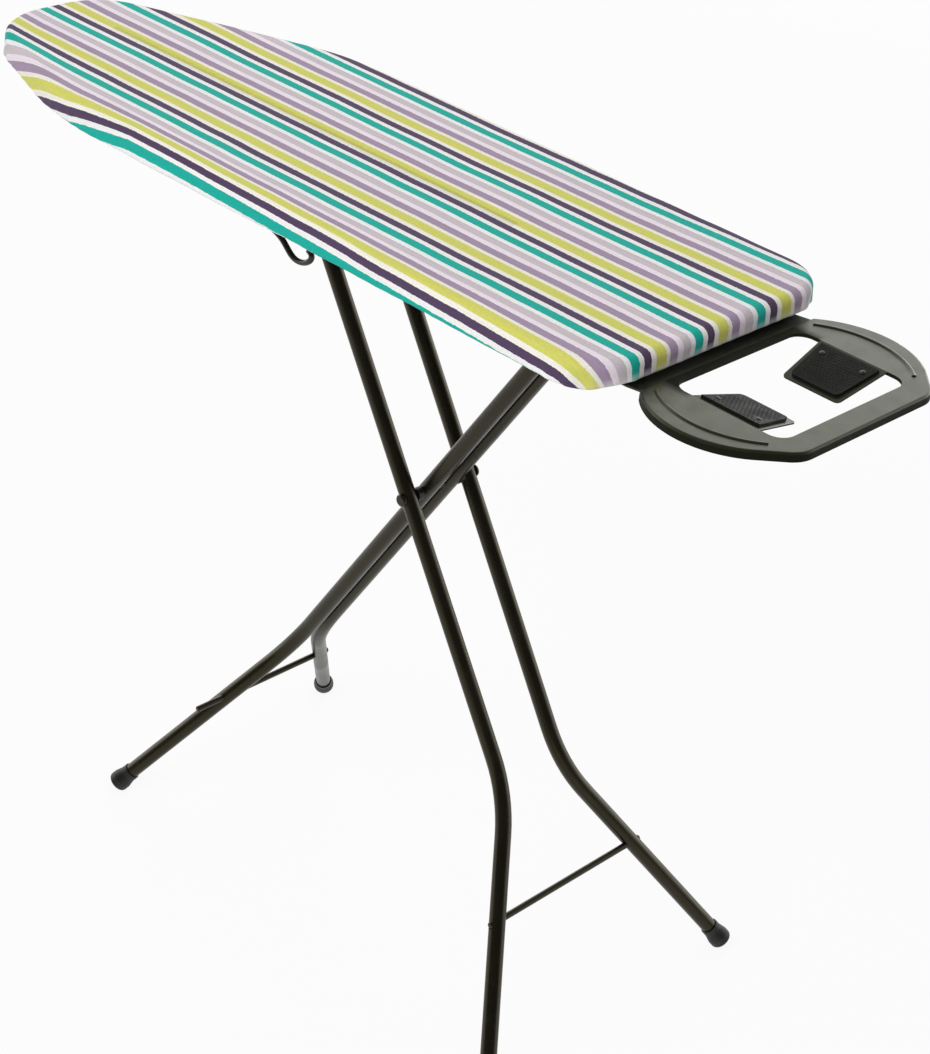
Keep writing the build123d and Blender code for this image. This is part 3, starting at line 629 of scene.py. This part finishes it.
def mouldedPlastic(name, color, shade, roughness, specular):
    # injection moulded in a spark-eroded tool: fine even grain, low sheen, slightly chalky in patches
    material, tree, shader = newMaterial(name, Specular_IOR_Level=specular)
    place = addNode(tree, "ShaderNodeTexCoord").outputs["Object"]
    blush = addNode(tree, "ShaderNodeTexNoise", {"Vector": place, "Scale": 1 / moulding["blush"],
            "Detail": 5.0}).outputs["Fac"]
    tint = addNode(tree, "ShaderNodeMix", {"Factor": blush, 6: hexColor(color), 7: hexColor(shade)},
                   data_type="RGBA").outputs[2]
    grain = addNode(tree, "ShaderNodeTexVoronoi", {"Vector": place,
            "Scale": 1 / moulding["grain"]}).outputs["Distance"]
    relief = addNode(tree, "ShaderNodeBump", {"Height": grain, "Strength": moulding["grainStrength"],
            "Distance": moulding["grain"] / moulding["grainFlat"]}).outputs["Normal"]
    gloss = addNode(tree, "ShaderNodeMapRange", {"Value": blush, **noiseMid,
            "To Min": roughness * moulding["glossy"],
            "To Max": roughness * moulding["chalky"]}).outputs[0]
    wireShader(tree, shader, Base_Color=tint, Roughness=gloss, Normal=relief)
    return material


zinc = dict(streak=(0.020, 0.0012), streakFlat=4, streakStrength=0.10, bloom=0.004)
brightLook = dict(color="#B9BBB8", shade="#8F918C", gloss=(0.24, 0.44))
rivetLook = dict(color="#77776F", shade="#5C5C56", gloss=(0.46, 0.62))


def zincPlate(name, look):
    # bright zinc plating: grey metal with drawn streaks and a cloudy bloom that breaks the reflection up
    material, tree, shader = newMaterial(name, Metallic=1.0)
    place = addNode(tree, "ShaderNodeTexCoord").outputs["Object"]
    long, wide = zinc["streak"]
    smooth, rough = look["gloss"]
    stretch = addNode(tree, "ShaderNodeMapping", {"Vector": place,
            "Scale": (1 / long, 1 / wide, 1 / wide)}).outputs[0]
    streaks = addNode(tree, "ShaderNodeTexNoise", {"Vector": stretch, "Scale": 1.0,
            "Detail": 3.0}).outputs["Fac"]
    bloom = addNode(tree, "ShaderNodeTexNoise", {"Vector": place, "Scale": 1 / zinc["bloom"],
            "Detail": 4.0}).outputs["Fac"]
    tint = addNode(tree, "ShaderNodeMix", {"Factor": bloom, 6: hexColor(look["color"]),
            7: hexColor(look["shade"])}, data_type="RGBA").outputs[2]
    gloss = addNode(tree, "ShaderNodeMapRange", {"Value": streaks, **noiseMid,
            "To Min": smooth, "To Max": rough}).outputs[0]
    relief = addNode(tree, "ShaderNodeBump", {"Height": streaks, "Strength": zinc["streakStrength"],
            "Distance": wide / zinc["streakFlat"]}).outputs["Normal"]
    wireShader(tree, shader, Base_Color=tint, Roughness=gloss, Normal=relief)
    return material


tubeEnamel = stoveEnamel("glossBlackTubeEnamel", tubeLook)
footPlastic = mouldedPlastic("mouldedBlackPolypropylene", "#10110E", "#1B1C19", 0.52, 0.4)
padSilicone = mouldedPlastic("mouldedBlackSilicone", "#0D0E0A", "#171813", 0.62, 0.22)
zincSteel = zincPlate("brightZincPlate", brightLook)
rivetSteel = zincPlate("dullRivetSteel", rivetLook)

finishes = {
    "striped_cotton": cottonMaterial,
    "felt": feltMaterial,
    "leg_enamel": tubeEnamel,
    "frame_steel": stoveEnamel("satinBlackFrameEnamel", underLook),
    "rail_black": stoveEnamel("satinBlackRailEnamel", railLook),
    "rest_enamel": stoveEnamel("graphiteGreyEnamel", restLook),
    "lever_black": stoveEnamel("blackWireEnamel", leverLook),
    "foot_plastic": footPlastic,
    "heatproof_pad": padSilicone,
    "shoe_plastic": mouldedPlastic("naturalNylon", "#CFCDC2", "#DEDCD2", 0.42, 0.5),
    "zinc_steel": zincSteel,
    "rivet_steel": rivetSteel,
}
for part in frame["record"]["subparts"]:
    mesh = nodes[part["node"]].data
    mesh.materials.clear()
    mesh.materials.append(finishes[part["material_slot"]])
print("finishes given to the steel and plastic parts")


# height lever: one bent wire, from its axle in the bracket to the curled finger grip

leverWire = dict(
    radius=0.0035,
    bend=0.022,
    tipRadius=0.72,
    # line of the grip in millimetres from the axle, along the board and down
    grip=[(6, 2), (32, 10.5), (64, 19.0), (80, 24), (90, 32.5), (99.5, 41),
          (111, 43), (122, 40), (129.5, 35), (133, 29), (131, 24), (125, 24)],
)


def makeLever(material):
    low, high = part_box("height_lever")
    radius, bend = leverWire["radius"], leverWire["bend"]
    corner = Vector((low.x + radius, low.y + radius, high.z - radius))
    run = high.y - corner.y
    route = [corner + Vector((0, run * share, 0)) for share in (1, 0.99, 0.75, 0.5)]
    route += [corner + Vector((0, bend * share, 0)) for share in (2, 1, 0.3)]
    route += [corner + Vector((along, 0, -down)) / 1000 for along, down in leverWire["grip"]]
    line = bpy.data.curves.new("leverLine", "CURVE")
    line.dimensions = "3D"
    line.bevel_depth = radius
    line.bevel_resolution = 6
    line.resolution_u = 10
    line.use_fill_caps = True
    spline = line.splines.new("NURBS")
    spline.points.add(len(route) - 1)
    for point, place in zip(spline.points, route):
        point.co = (*place, 1)
    spline.points[-1].radius = leverWire["tipRadius"]
    spline.order_u = 4
    spline.use_endpoint_u = True
    shape = newObject("leverLine", line)
    mesh = plainMesh(shape, "leverWire")
    bpy.data.objects.remove(shape)
    mesh.materials.clear()
    mesh.materials.append(material)
    mesh.polygons.foreach_set("use_smooth", [True] * len(mesh.polygons))
    piece = newObject("leverWire", mesh)
    mergeDoubles(piece)
    return piece


leverPiece = makeLever(finishes["lever_black"])
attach(leverPiece, "lever")
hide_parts("height_lever")
print("lever bent:", len(leverPiece.data.polygons), "faces")


# what repeats or follows a path, grown by geometry nodes

def newTree(name, sizes):
    tree = bpy.data.node_groups.new(name, "GeometryNodeTree")
    tree.interface.new_socket("Geometry", in_out="INPUT", socket_type="NodeSocketGeometry")
    for label in sizes:
        tree.interface.new_socket(label, in_out="INPUT", socket_type="NodeSocketFloat")
    tree.interface.new_socket("Finish", in_out="INPUT", socket_type="NodeSocketMaterial")
    tree.interface.new_socket("Geometry", in_out="OUTPUT", socket_type="NodeSocketGeometry")
    return tree, addNode(tree, "NodeGroupInput").outputs


def pathMarks(tree, given):
    path = addNode(tree, "GeometryNodeMeshToCurve", {"Mesh": given["Geometry"]}).outputs[0]
    return addNode(tree, "GeometryNodeResampleCurve", {"Curve": path, "Length": given["Pitch"]},
                   mode="LENGTH").outputs[0]


def facingTurn(tree):
    facing = addNode(tree, "GeometryNodeInputNamedAttribute", {"Name": "facing"},
            data_type="FLOAT_VECTOR").outputs["Attribute"]
    return addNode(tree, "FunctionNodeAlignRotationToVector", {"Vector": facing}, axis="Z").outputs[0]


def endTree(tree, instances, finish):
    solid = addNode(tree, "GeometryNodeRealizeInstances", {"Geometry": instances}).outputs[0]
    rounded = addNode(tree, "GeometryNodeSetShadeSmooth", {"Geometry": solid}).outputs[0]
    dressed = addNode(tree, "GeometryNodeSetMaterial", {"Geometry": rounded, "Material": finish}).outputs[0]
    addNode(tree, "NodeGroupOutput", {"Geometry": dressed})
    return tree


def growPiece(name, tree, sizes, points, edges=(), facing=None):
    mesh = bpy.data.meshes.new(name)
    mesh.from_pydata([tuple(p) for p in points], list(edges), [])
    if facing:
        attribute = mesh.attributes.new("facing", "FLOAT_VECTOR", "POINT")
        attribute.data.foreach_set("vector", [c for way in facing for c in way])
    piece = newObject(name, mesh)
    grow = piece.modifiers.new("grow", "NODES")
    grow.node_group = tree
    for socket in tree.interface.items_tree:
        if socket.in_out == "INPUT" and socket.name in sizes:
            grow[socket.identifier] = sizes[socket.name]
    made = plainMesh(piece, name)
    piece.modifiers.remove(grow)
    piece.data = made
    return piece


# hem: a row of lock stitches along the turned-in edge

hemStitch = dict(pitch=0.0038, length=0.0027, thread=0.0007, gap=0.0001, color="#E9E6DF", shade="#CFCBC2")


def stitchTree():
    tree, given = newTree("stitchesAlongEdge", ["Pitch", "Length", "Thread"])
    bead = addNode(tree, "GeometryNodeMeshIcoSphere", {"Radius": 0.5, "Subdivisions": 1}).outputs["Mesh"]
    size = addNode(tree, "ShaderNodeCombineXYZ", {"X": given["Length"], "Y": given["Thread"],
            "Z": given["Thread"]}).outputs[0]
    along = addNode(tree, "GeometryNodeInputTangent").outputs[0]
    turn = addNode(tree, "FunctionNodeAlignRotationToVector", {"Vector": along}, axis="X").outputs[0]
    row = addNode(tree, "GeometryNodeInstanceOnPoints", {"Points": pathMarks(tree, given), "Instance": bead,
            "Rotation": turn, "Scale": size}).outputs[0]
    return endTree(tree, row, given["Finish"])


def spunThread():
    # spun polyester thread: off-white, twisted plies that break its colour into fine flecks
    material, tree, shader = newMaterial("spunWhiteThread", Roughness=0.7, Sheen_Weight=0.2)
    place = addNode(tree, "ShaderNodeTexCoord").outputs["Object"]
    plies = addNode(tree, "ShaderNodeTexNoise", {"Vector": place, "Scale": 1 / hemStitch["thread"],
            "Detail": 2.0}).outputs["Fac"]
    tint = addNode(tree, "ShaderNodeMix", {"Factor": plies, 6: hexColor(hemStitch["color"]),
            7: hexColor(hemStitch["shade"])}, data_type="RGBA").outputs[2]
    wireShader(tree, shader, Base_Color=tint)
    return material


stitchPath = [place - Vector((0, 0, hemStitch["gap"])) for place in stitchRow]
stitchEdges = [(i, (i + 1) % len(stitchPath)) for i in range(len(stitchPath))]
stitches = growPiece("hemStitches", stitchTree(), {
    "Pitch": hemStitch["pitch"], "Length": hemStitch["length"], "Thread": hemStitch["thread"],
    "Finish": spunThread(),
}, stitchPath, stitchEdges)
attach(stitches, "board")
print("hem stitched:", len(stitches.data.polygons), "faces")


# heat pads: rivet heads, and rows of moulded pimples between them

padDetail = dict(
    slope=math.radians(14), sheet=0.003,
    rivetRadius=0.0040, rivetHead=0.0032, rivetHeight=0.0015, rivetClear=0.0068,
    pimpleRadius=0.0012, pimpleHeight=0.0003,
    pitch=0.0046, rowShare=0.866, margin=0.0042, tipShorter=0.0072,
)


def domeTree(segments, rings):
    tree, given = newTree("domesOnPoints", ["Radius", "Height"])
    ball = addNode(tree, "GeometryNodeMeshUVSphere", {"Segments": segments, "Rings": rings,
            "Radius": 1.0}).outputs["Mesh"]
    size = addNode(tree, "ShaderNodeCombineXYZ", {"X": given["Radius"], "Y": given["Radius"],
            "Z": given["Height"]}).outputs[0]
    domes = addNode(tree, "GeometryNodeInstanceOnPoints", {"Points": given["Geometry"], "Instance": ball,
            "Rotation": facingTurn(tree),
            "Scale": size}).outputs[0]
    return endTree(tree, domes, given["Finish"])


def padSurface(side):
    low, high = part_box("heat_pad_left")
    fall, level = math.sin(padDetail["slope"]), math.cos(padDetail["slope"])
    inward = Vector((0, -side * level, -fall))
    facing = Vector((0, -side * fall, level))
    root = Vector(((low.x + high.x) / 2, side * (high.y - padDetail["sheet"] * fall), high.z))
    return root, inward, facing, (high.y - low.y) / level, (high.x - low.x) / 2


def rivetPlaces():
    low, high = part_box("pad_rivets")
    radius = padDetail["rivetRadius"]
    rise = radius * math.sin(padDetail["slope"])
    out = high.y - radius * math.cos(padDetail["slope"])
    ends = (low.x + radius, high.x - radius)
    return [Vector((x, side * out, low.z + rise)) for side in (1, -1) for x in ends]


def pimplePlaces(side):
    detail = padDetail
    root, inward, facing, reach, half = padSurface(side)
    places = []
    rowPitch = detail["pitch"] * detail["rowShare"]
    rows = int((reach - 2 * detail["margin"]) / rowPitch)
    for r in range(rows + 1):
        down = detail["margin"] + r * rowPitch
        room = half - detail["margin"] - detail["tipShorter"] * down / reach
        count = int(room / detail["pitch"])
        for c in range(-count, count + 1):
            along = (c + 0.5 * (r % 2)) * detail["pitch"]
            place = root + inward * down + Vector((along, 0, 0))
            clear = all((place - rivet).length > detail["rivetClear"] for rivet in rivetPlaces())
            if abs(along) <= room and clear:
                places.append(place)
    return places, [facing] * len(places)


rivetFacing = [padSurface(1)[2]] * 2 + [padSurface(-1)[2]] * 2
rivets = growPiece("padRivetHeads", domeTree(24, 14), {
    "Radius": padDetail["rivetHead"], "Height": padDetail["rivetHeight"], "Finish": rivetSteel,
}, rivetPlaces(), facing=rivetFacing)
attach(rivets, "board")
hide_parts("pad_rivets")
pimpleTree = domeTree(8, 6)
for side, label in ((1, "left"), (-1, "right")):
    places, facing = pimplePlaces(side)
    pimples = growPiece("padPimples_" + label, pimpleTree, {
        "Radius": padDetail["pimpleRadius"], "Height": padDetail["pimpleHeight"], "Finish": padSilicone,
    }, places, facing=facing)
    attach(pimples, "board")
print("heat pads riveted,", len(places), "pimples on each")


# pan-head screws that hold the iron rest's rail to the rim

screwHead = dict(height=0.0025, slotLength=0.0074, slotWidth=0.0014, slotDepth=0.0013)


def screwTree():
    sizes = ["Radius", "Height", "Slot Length", "Slot Width", "Slot Depth"]
    tree, given = newTree("crossHeadsOnPoints", sizes)
    ball = addNode(tree, "GeometryNodeMeshUVSphere", {"Segments": 32, "Rings": 20,
            "Radius": 1.0}).outputs["Mesh"]
    size = addNode(tree, "ShaderNodeCombineXYZ", {"X": given["Radius"], "Y": given["Radius"],
            "Z": given["Height"]}).outputs[0]
    dome = addNode(tree, "GeometryNodeTransform", {"Geometry": ball, "Scale": size}).outputs[0]
    depth = addNode(tree, "ShaderNodeMath", {0: given["Slot Depth"], 1: 2.0},
            operation="MULTIPLY").outputs[0]
    lift = addNode(tree, "ShaderNodeCombineXYZ", {"Z": given["Height"]}).outputs[0]
    bars = []
    for x, y in (("Slot Length", "Slot Width"), ("Slot Width", "Slot Length")):
        shape = addNode(tree, "ShaderNodeCombineXYZ", {"X": given[x], "Y": given[y], "Z": depth}).outputs[0]
        bar = addNode(tree, "GeometryNodeMeshCube", {"Size": shape}).outputs["Mesh"]
        raised = addNode(tree, "GeometryNodeTransform", {"Geometry": bar, "Translation": lift})
        bars.append(raised.outputs[0])
    cut = addNode(tree, "GeometryNodeMeshBoolean", {"Mesh 1": dome, "Mesh 2": bars},
                  operation="DIFFERENCE").outputs[0]
    heads = addNode(tree, "GeometryNodeInstanceOnPoints", {"Points": given["Geometry"], "Instance": cut,
            "Rotation": facingTurn(tree)}).outputs[0]
    return endTree(tree, heads, given["Finish"])


def makeScrews():
    low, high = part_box("rest_screws")
    radius = (high.x - low.x) / 2
    seat = low.z + screwHead["height"]
    places = [Vector((low.x + radius, side * (high.y - radius), seat)) for side in (1, -1)]
    return growPiece("restScrewHeads", screwTree(), {
        "Radius": radius, "Height": screwHead["height"], "Slot Length": screwHead["slotLength"],
        "Slot Width": screwHead["slotWidth"], "Slot Depth": screwHead["slotDepth"], "Finish": zincSteel,
    }, places, facing=[(0, 0, -1)] * 2)


screws = makeScrews()
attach(screws, "board")
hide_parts("rest_screws")
print("screws made:", len(screws.data.polygons), "faces")


# weld beads where the leg tubes meet the hinge sleeve and the top bar

weld = dict(pitch=0.0019, bead=0.0017, unevenness=(0.85, 1.15), tube=0.010, steps=40, shallow=0.00002,
            clearOfCheek=0.8, seed=11)


def weldTree():
    tree, given = newTree("beadsAlongEdge", ["Pitch", "Bead"])
    least, most = weld["unevenness"]
    ball = addNode(tree, "GeometryNodeMeshIcoSphere", {"Radius": given["Bead"],
            "Subdivisions": 2}).outputs["Mesh"]
    size = addNode(tree, "FunctionNodeRandomValue", {2: least, 3: most, "Seed": weld["seed"]},
                   data_type="FLOAT").outputs[1]
    row = addNode(tree, "GeometryNodeInstanceOnPoints", {"Points": pathMarks(tree, given), "Instance": ball,
            "Scale": size}).outputs[0]
    return endTree(tree, row, given["Finish"])


def weldPath(barNode, legNode, barRadius):
    bar, pivot = middle(barNode), middle("pivot_rod")
    down = (pivot - bar).normalized()
    across = Vector((-down.z, 0, down.x))
    tube = weld["tube"]
    offset = abs(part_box(legNode)[0].y) + tube
    paths = []
    for side in (1, -1):
        stretch = []
        for k in range(weld["steps"] + 1):
            angle = 2 * math.pi * k / weld["steps"]
            deep = barRadius ** 2 - (tube * math.sin(angle)) ** 2
            if deep < weld["shallow"] or math.cos(angle) > weld["clearOfCheek"]:
                paths.append(stretch)
                stretch = []
                continue
            beside = Vector((0, side * (offset + tube * math.cos(angle)), 0))
            stretch.append(bar + beside + across * tube * math.sin(angle) + down * math.sqrt(deep))
        paths.append(stretch)
    return [path for path in paths if len(path) > 1]


beadTree = weldTree()
for label, body, barNode, legNode in (("rear", "rear_legs", "rear_hinge_sleeve", "rear_leg_left"),
        ("front", "front_legs", "front_top_bar", "front_leg_left")):
    barLow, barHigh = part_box(barNode)
    points, edges = [], []
    for path in weldPath(barNode, legNode, (barHigh.x - barLow.x) / 2):
        edges += [(len(points) + i, len(points) + i + 1) for i in range(len(path) - 1)]
        points += path
    beads = growPiece("weldBeads_" + label, beadTree, {
        "Pitch": weld["pitch"], "Bead": weld["bead"], "Finish": tubeEnamel,
    }, points, edges)
    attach(beads, body)
    print("weld beads,", label, len(beads.data.polygons), "faces")


# floor, light and camera

stage = dict(
    floorColor="#F4F4F4",
    floorHalf=14.0,
    floorGlow=0.90,       # share of plain white in what the camera and reflections see of the floor
    floorFade=(1.4, 5.0),  # from here outwards the floor goes over into the white behind it
    worldStrength=0.46,
    # the lit sweep as reflections show it, fading with height
    sweepFoot=0.1, sweepTop=0.75, sweepLevel=3.4, sweepDim=0.45,
    roomWay=(0.62, -0.70, 0.35),  # the side of the room behind the camera, darker than the white sweep
    roomFade=(-0.25, 0.35), roomLevel=0.12,
    keyPower=56.0, keySize=2.2, keyPlace=(0.15, -2.6, 2.6),
    backPower=22.0, backSize=2.0, backPlace=(-0.95, 1.75, 2.3),
    aim=(0.1, 0.0, 0.8),
)


def addLamp(name, power, size, place):
    lamp = bpy.data.lights.new(name, "AREA")
    lamp.energy = power
    lamp.size = size
    holder = newObject(name, lamp)
    holder.location = place
    holder.rotation_mode = "QUATERNION"
    holder.rotation_quaternion = (Vector(stage["aim"]) - Vector(place)).to_track_quat("-Z", "Y")
    holder.visible_camera = False
    holder.visible_glossy = False


def makeFloor():
    # matt painted sweep: white to the eye, with the soft shadow left on it
    material, tree, shader = newMaterial("paleStudioFloor", Base_Color=hexColor(stage["floorColor"]),
            Roughness=0.9, Specular_IOR_Level=0.1)
    rays = addNode(tree, "ShaderNodeLightPath").outputs
    seen = rays["Is Camera Ray"]
    for kind in ("Is Transmission Ray", "Is Glossy Ray"):
        seen = addNode(tree, "ShaderNodeMath", {0: seen, 1: rays[kind]}, operation="MAXIMUM").outputs[0]
    place = addNode(tree, "ShaderNodeTexCoord").outputs["Object"]
    reach = addNode(tree, "ShaderNodeVectorMath", {0: place}, operation="LENGTH").outputs["Value"]
    fadeStart, fadeEnd = stage["floorFade"]
    glow = addNode(tree, "ShaderNodeMapRange", {"Value": reach, "From Min": fadeStart, "From Max": fadeEnd,
            "To Min": stage["floorGlow"], "To Max": 1.0}).outputs[0]
    share = addNode(tree, "ShaderNodeMath", {0: seen, 1: glow}, operation="MULTIPLY").outputs[0]
    white = addNode(tree, "ShaderNodeEmission", {"Color": (1, 1, 1, 1), "Strength": 1.0}).outputs[0]
    mixed = addNode(tree, "ShaderNodeMixShader", {0: share, 1: shader.outputs[0], 2: white}).outputs[0]
    tree.links.new(mixed, tree.nodes["Material Output"].inputs["Surface"])
    half = stage["floorHalf"]
    corners = [(-half, -half, 0), (half, -half, 0), (half, half, 0), (-half, half, 0)]
    floor = newPiece("studioFloor", corners, [(0, 1, 2, 3)], material, False)


def makeWorld():
    world = bpy.data.worlds.new("softStudio")
    bpy.context.scene.world = world
    world.use_nodes = True
    tree = world.node_tree
    tree.nodes.clear()
    rays = addNode(tree, "ShaderNodeLightPath").outputs
    way = addNode(tree, "ShaderNodeTexCoord").outputs["Generated"]
    room = addNode(tree, "ShaderNodeVectorMath", {0: way, 1: Vector(stage["roomWay"]).normalized()},
                   operation="DOT_PRODUCT").outputs["Value"]
    height = addNode(tree, "ShaderNodeSeparateXYZ", {"Vector": way}).outputs["Z"]
    sweep = addNode(tree, "ShaderNodeMapRange", {"Value": height, "From Min": stage["sweepFoot"],
            "From Max": stage["sweepTop"], "To Min": stage["sweepLevel"],
            "To Max": stage["sweepDim"]}).outputs[0]
    roomStart, roomFull = stage["roomFade"]
    mirrored = addNode(tree, "ShaderNodeMapRange", {"Value": room, "From Min": roomStart,
            "From Max": roomFull, "To Min": sweep, "To Max": stage["roomLevel"]}).outputs[0]
    plain = addNode(tree, "ShaderNodeMix", {"Factor": rays["Is Glossy Ray"], 2: stage["worldStrength"],
            3: mirrored}).outputs[0]
    seen = addNode(tree, "ShaderNodeMath", {0: rays["Is Camera Ray"], 1: rays["Is Transmission Ray"]},
                   operation="MAXIMUM").outputs[0]
    level = addNode(tree, "ShaderNodeMix", {"Factor": seen, 2: plain, 3: 1.0}).outputs[0]
    sky = addNode(tree, "ShaderNodeBackground", {"Color": (1, 1, 1, 1), "Strength": level})
    addNode(tree, "ShaderNodeOutputWorld", {"Surface": sky.outputs[0]})


view = dict(
    azimuth=math.radians(42.18), elevation=math.radians(31.55), roll=math.radians(5.81),
    target=(0.1042, 0.0489, 0.4937), distance=2.871,
    focalPixels=2377.2, frameLong=1054, axisPixel=(473.5, 542.4), frameCentre=(465, 527), sensor=36,
    clipEnd=60,
)


def makeCamera():
    camera = newObject("photoCamera", bpy.data.cameras.new("photoCamera"))
    az, el, roll = view["azimuth"], view["elevation"], view["roll"]
    back = Vector((math.sin(az) * math.cos(el), -math.cos(az) * math.cos(el), math.sin(el)))
    right = Vector((0, 0, 1)).cross(back).normalized()
    up = back.cross(right)
    tiltedRight = right * math.cos(roll) + up * math.sin(roll)
    tiltedUp = up * math.cos(roll) - right * math.sin(roll)
    turn = Matrix((tiltedRight, tiltedUp, back)).transposed().to_4x4()
    camera.matrix_world = Matrix.Translation(Vector(view["target"]) + back * view["distance"]) @ turn
    camera.data.sensor_width = view["sensor"]
    camera.data.lens = view["focalPixels"] * view["sensor"] / view["frameLong"]
    camera.data.shift_x = (view["frameCentre"][0] - view["axisPixel"][0]) / view["frameLong"]
    camera.data.shift_y = (view["axisPixel"][1] - view["frameCentre"][1]) / view["frameLong"]
    camera.data.clip_end = view["clipEnd"]
    bpy.context.scene.camera = camera


makeFloor()
makeWorld()
addLamp("keyLamp", stage["keyPower"], stage["keySize"], stage["keyPlace"])
addLamp("backSoftbox", stage["backPower"], stage["backSize"], stage["backPlace"])
makeCamera()
bpy.context.scene.view_settings.view_transform = "Standard"
print("stage and camera set")
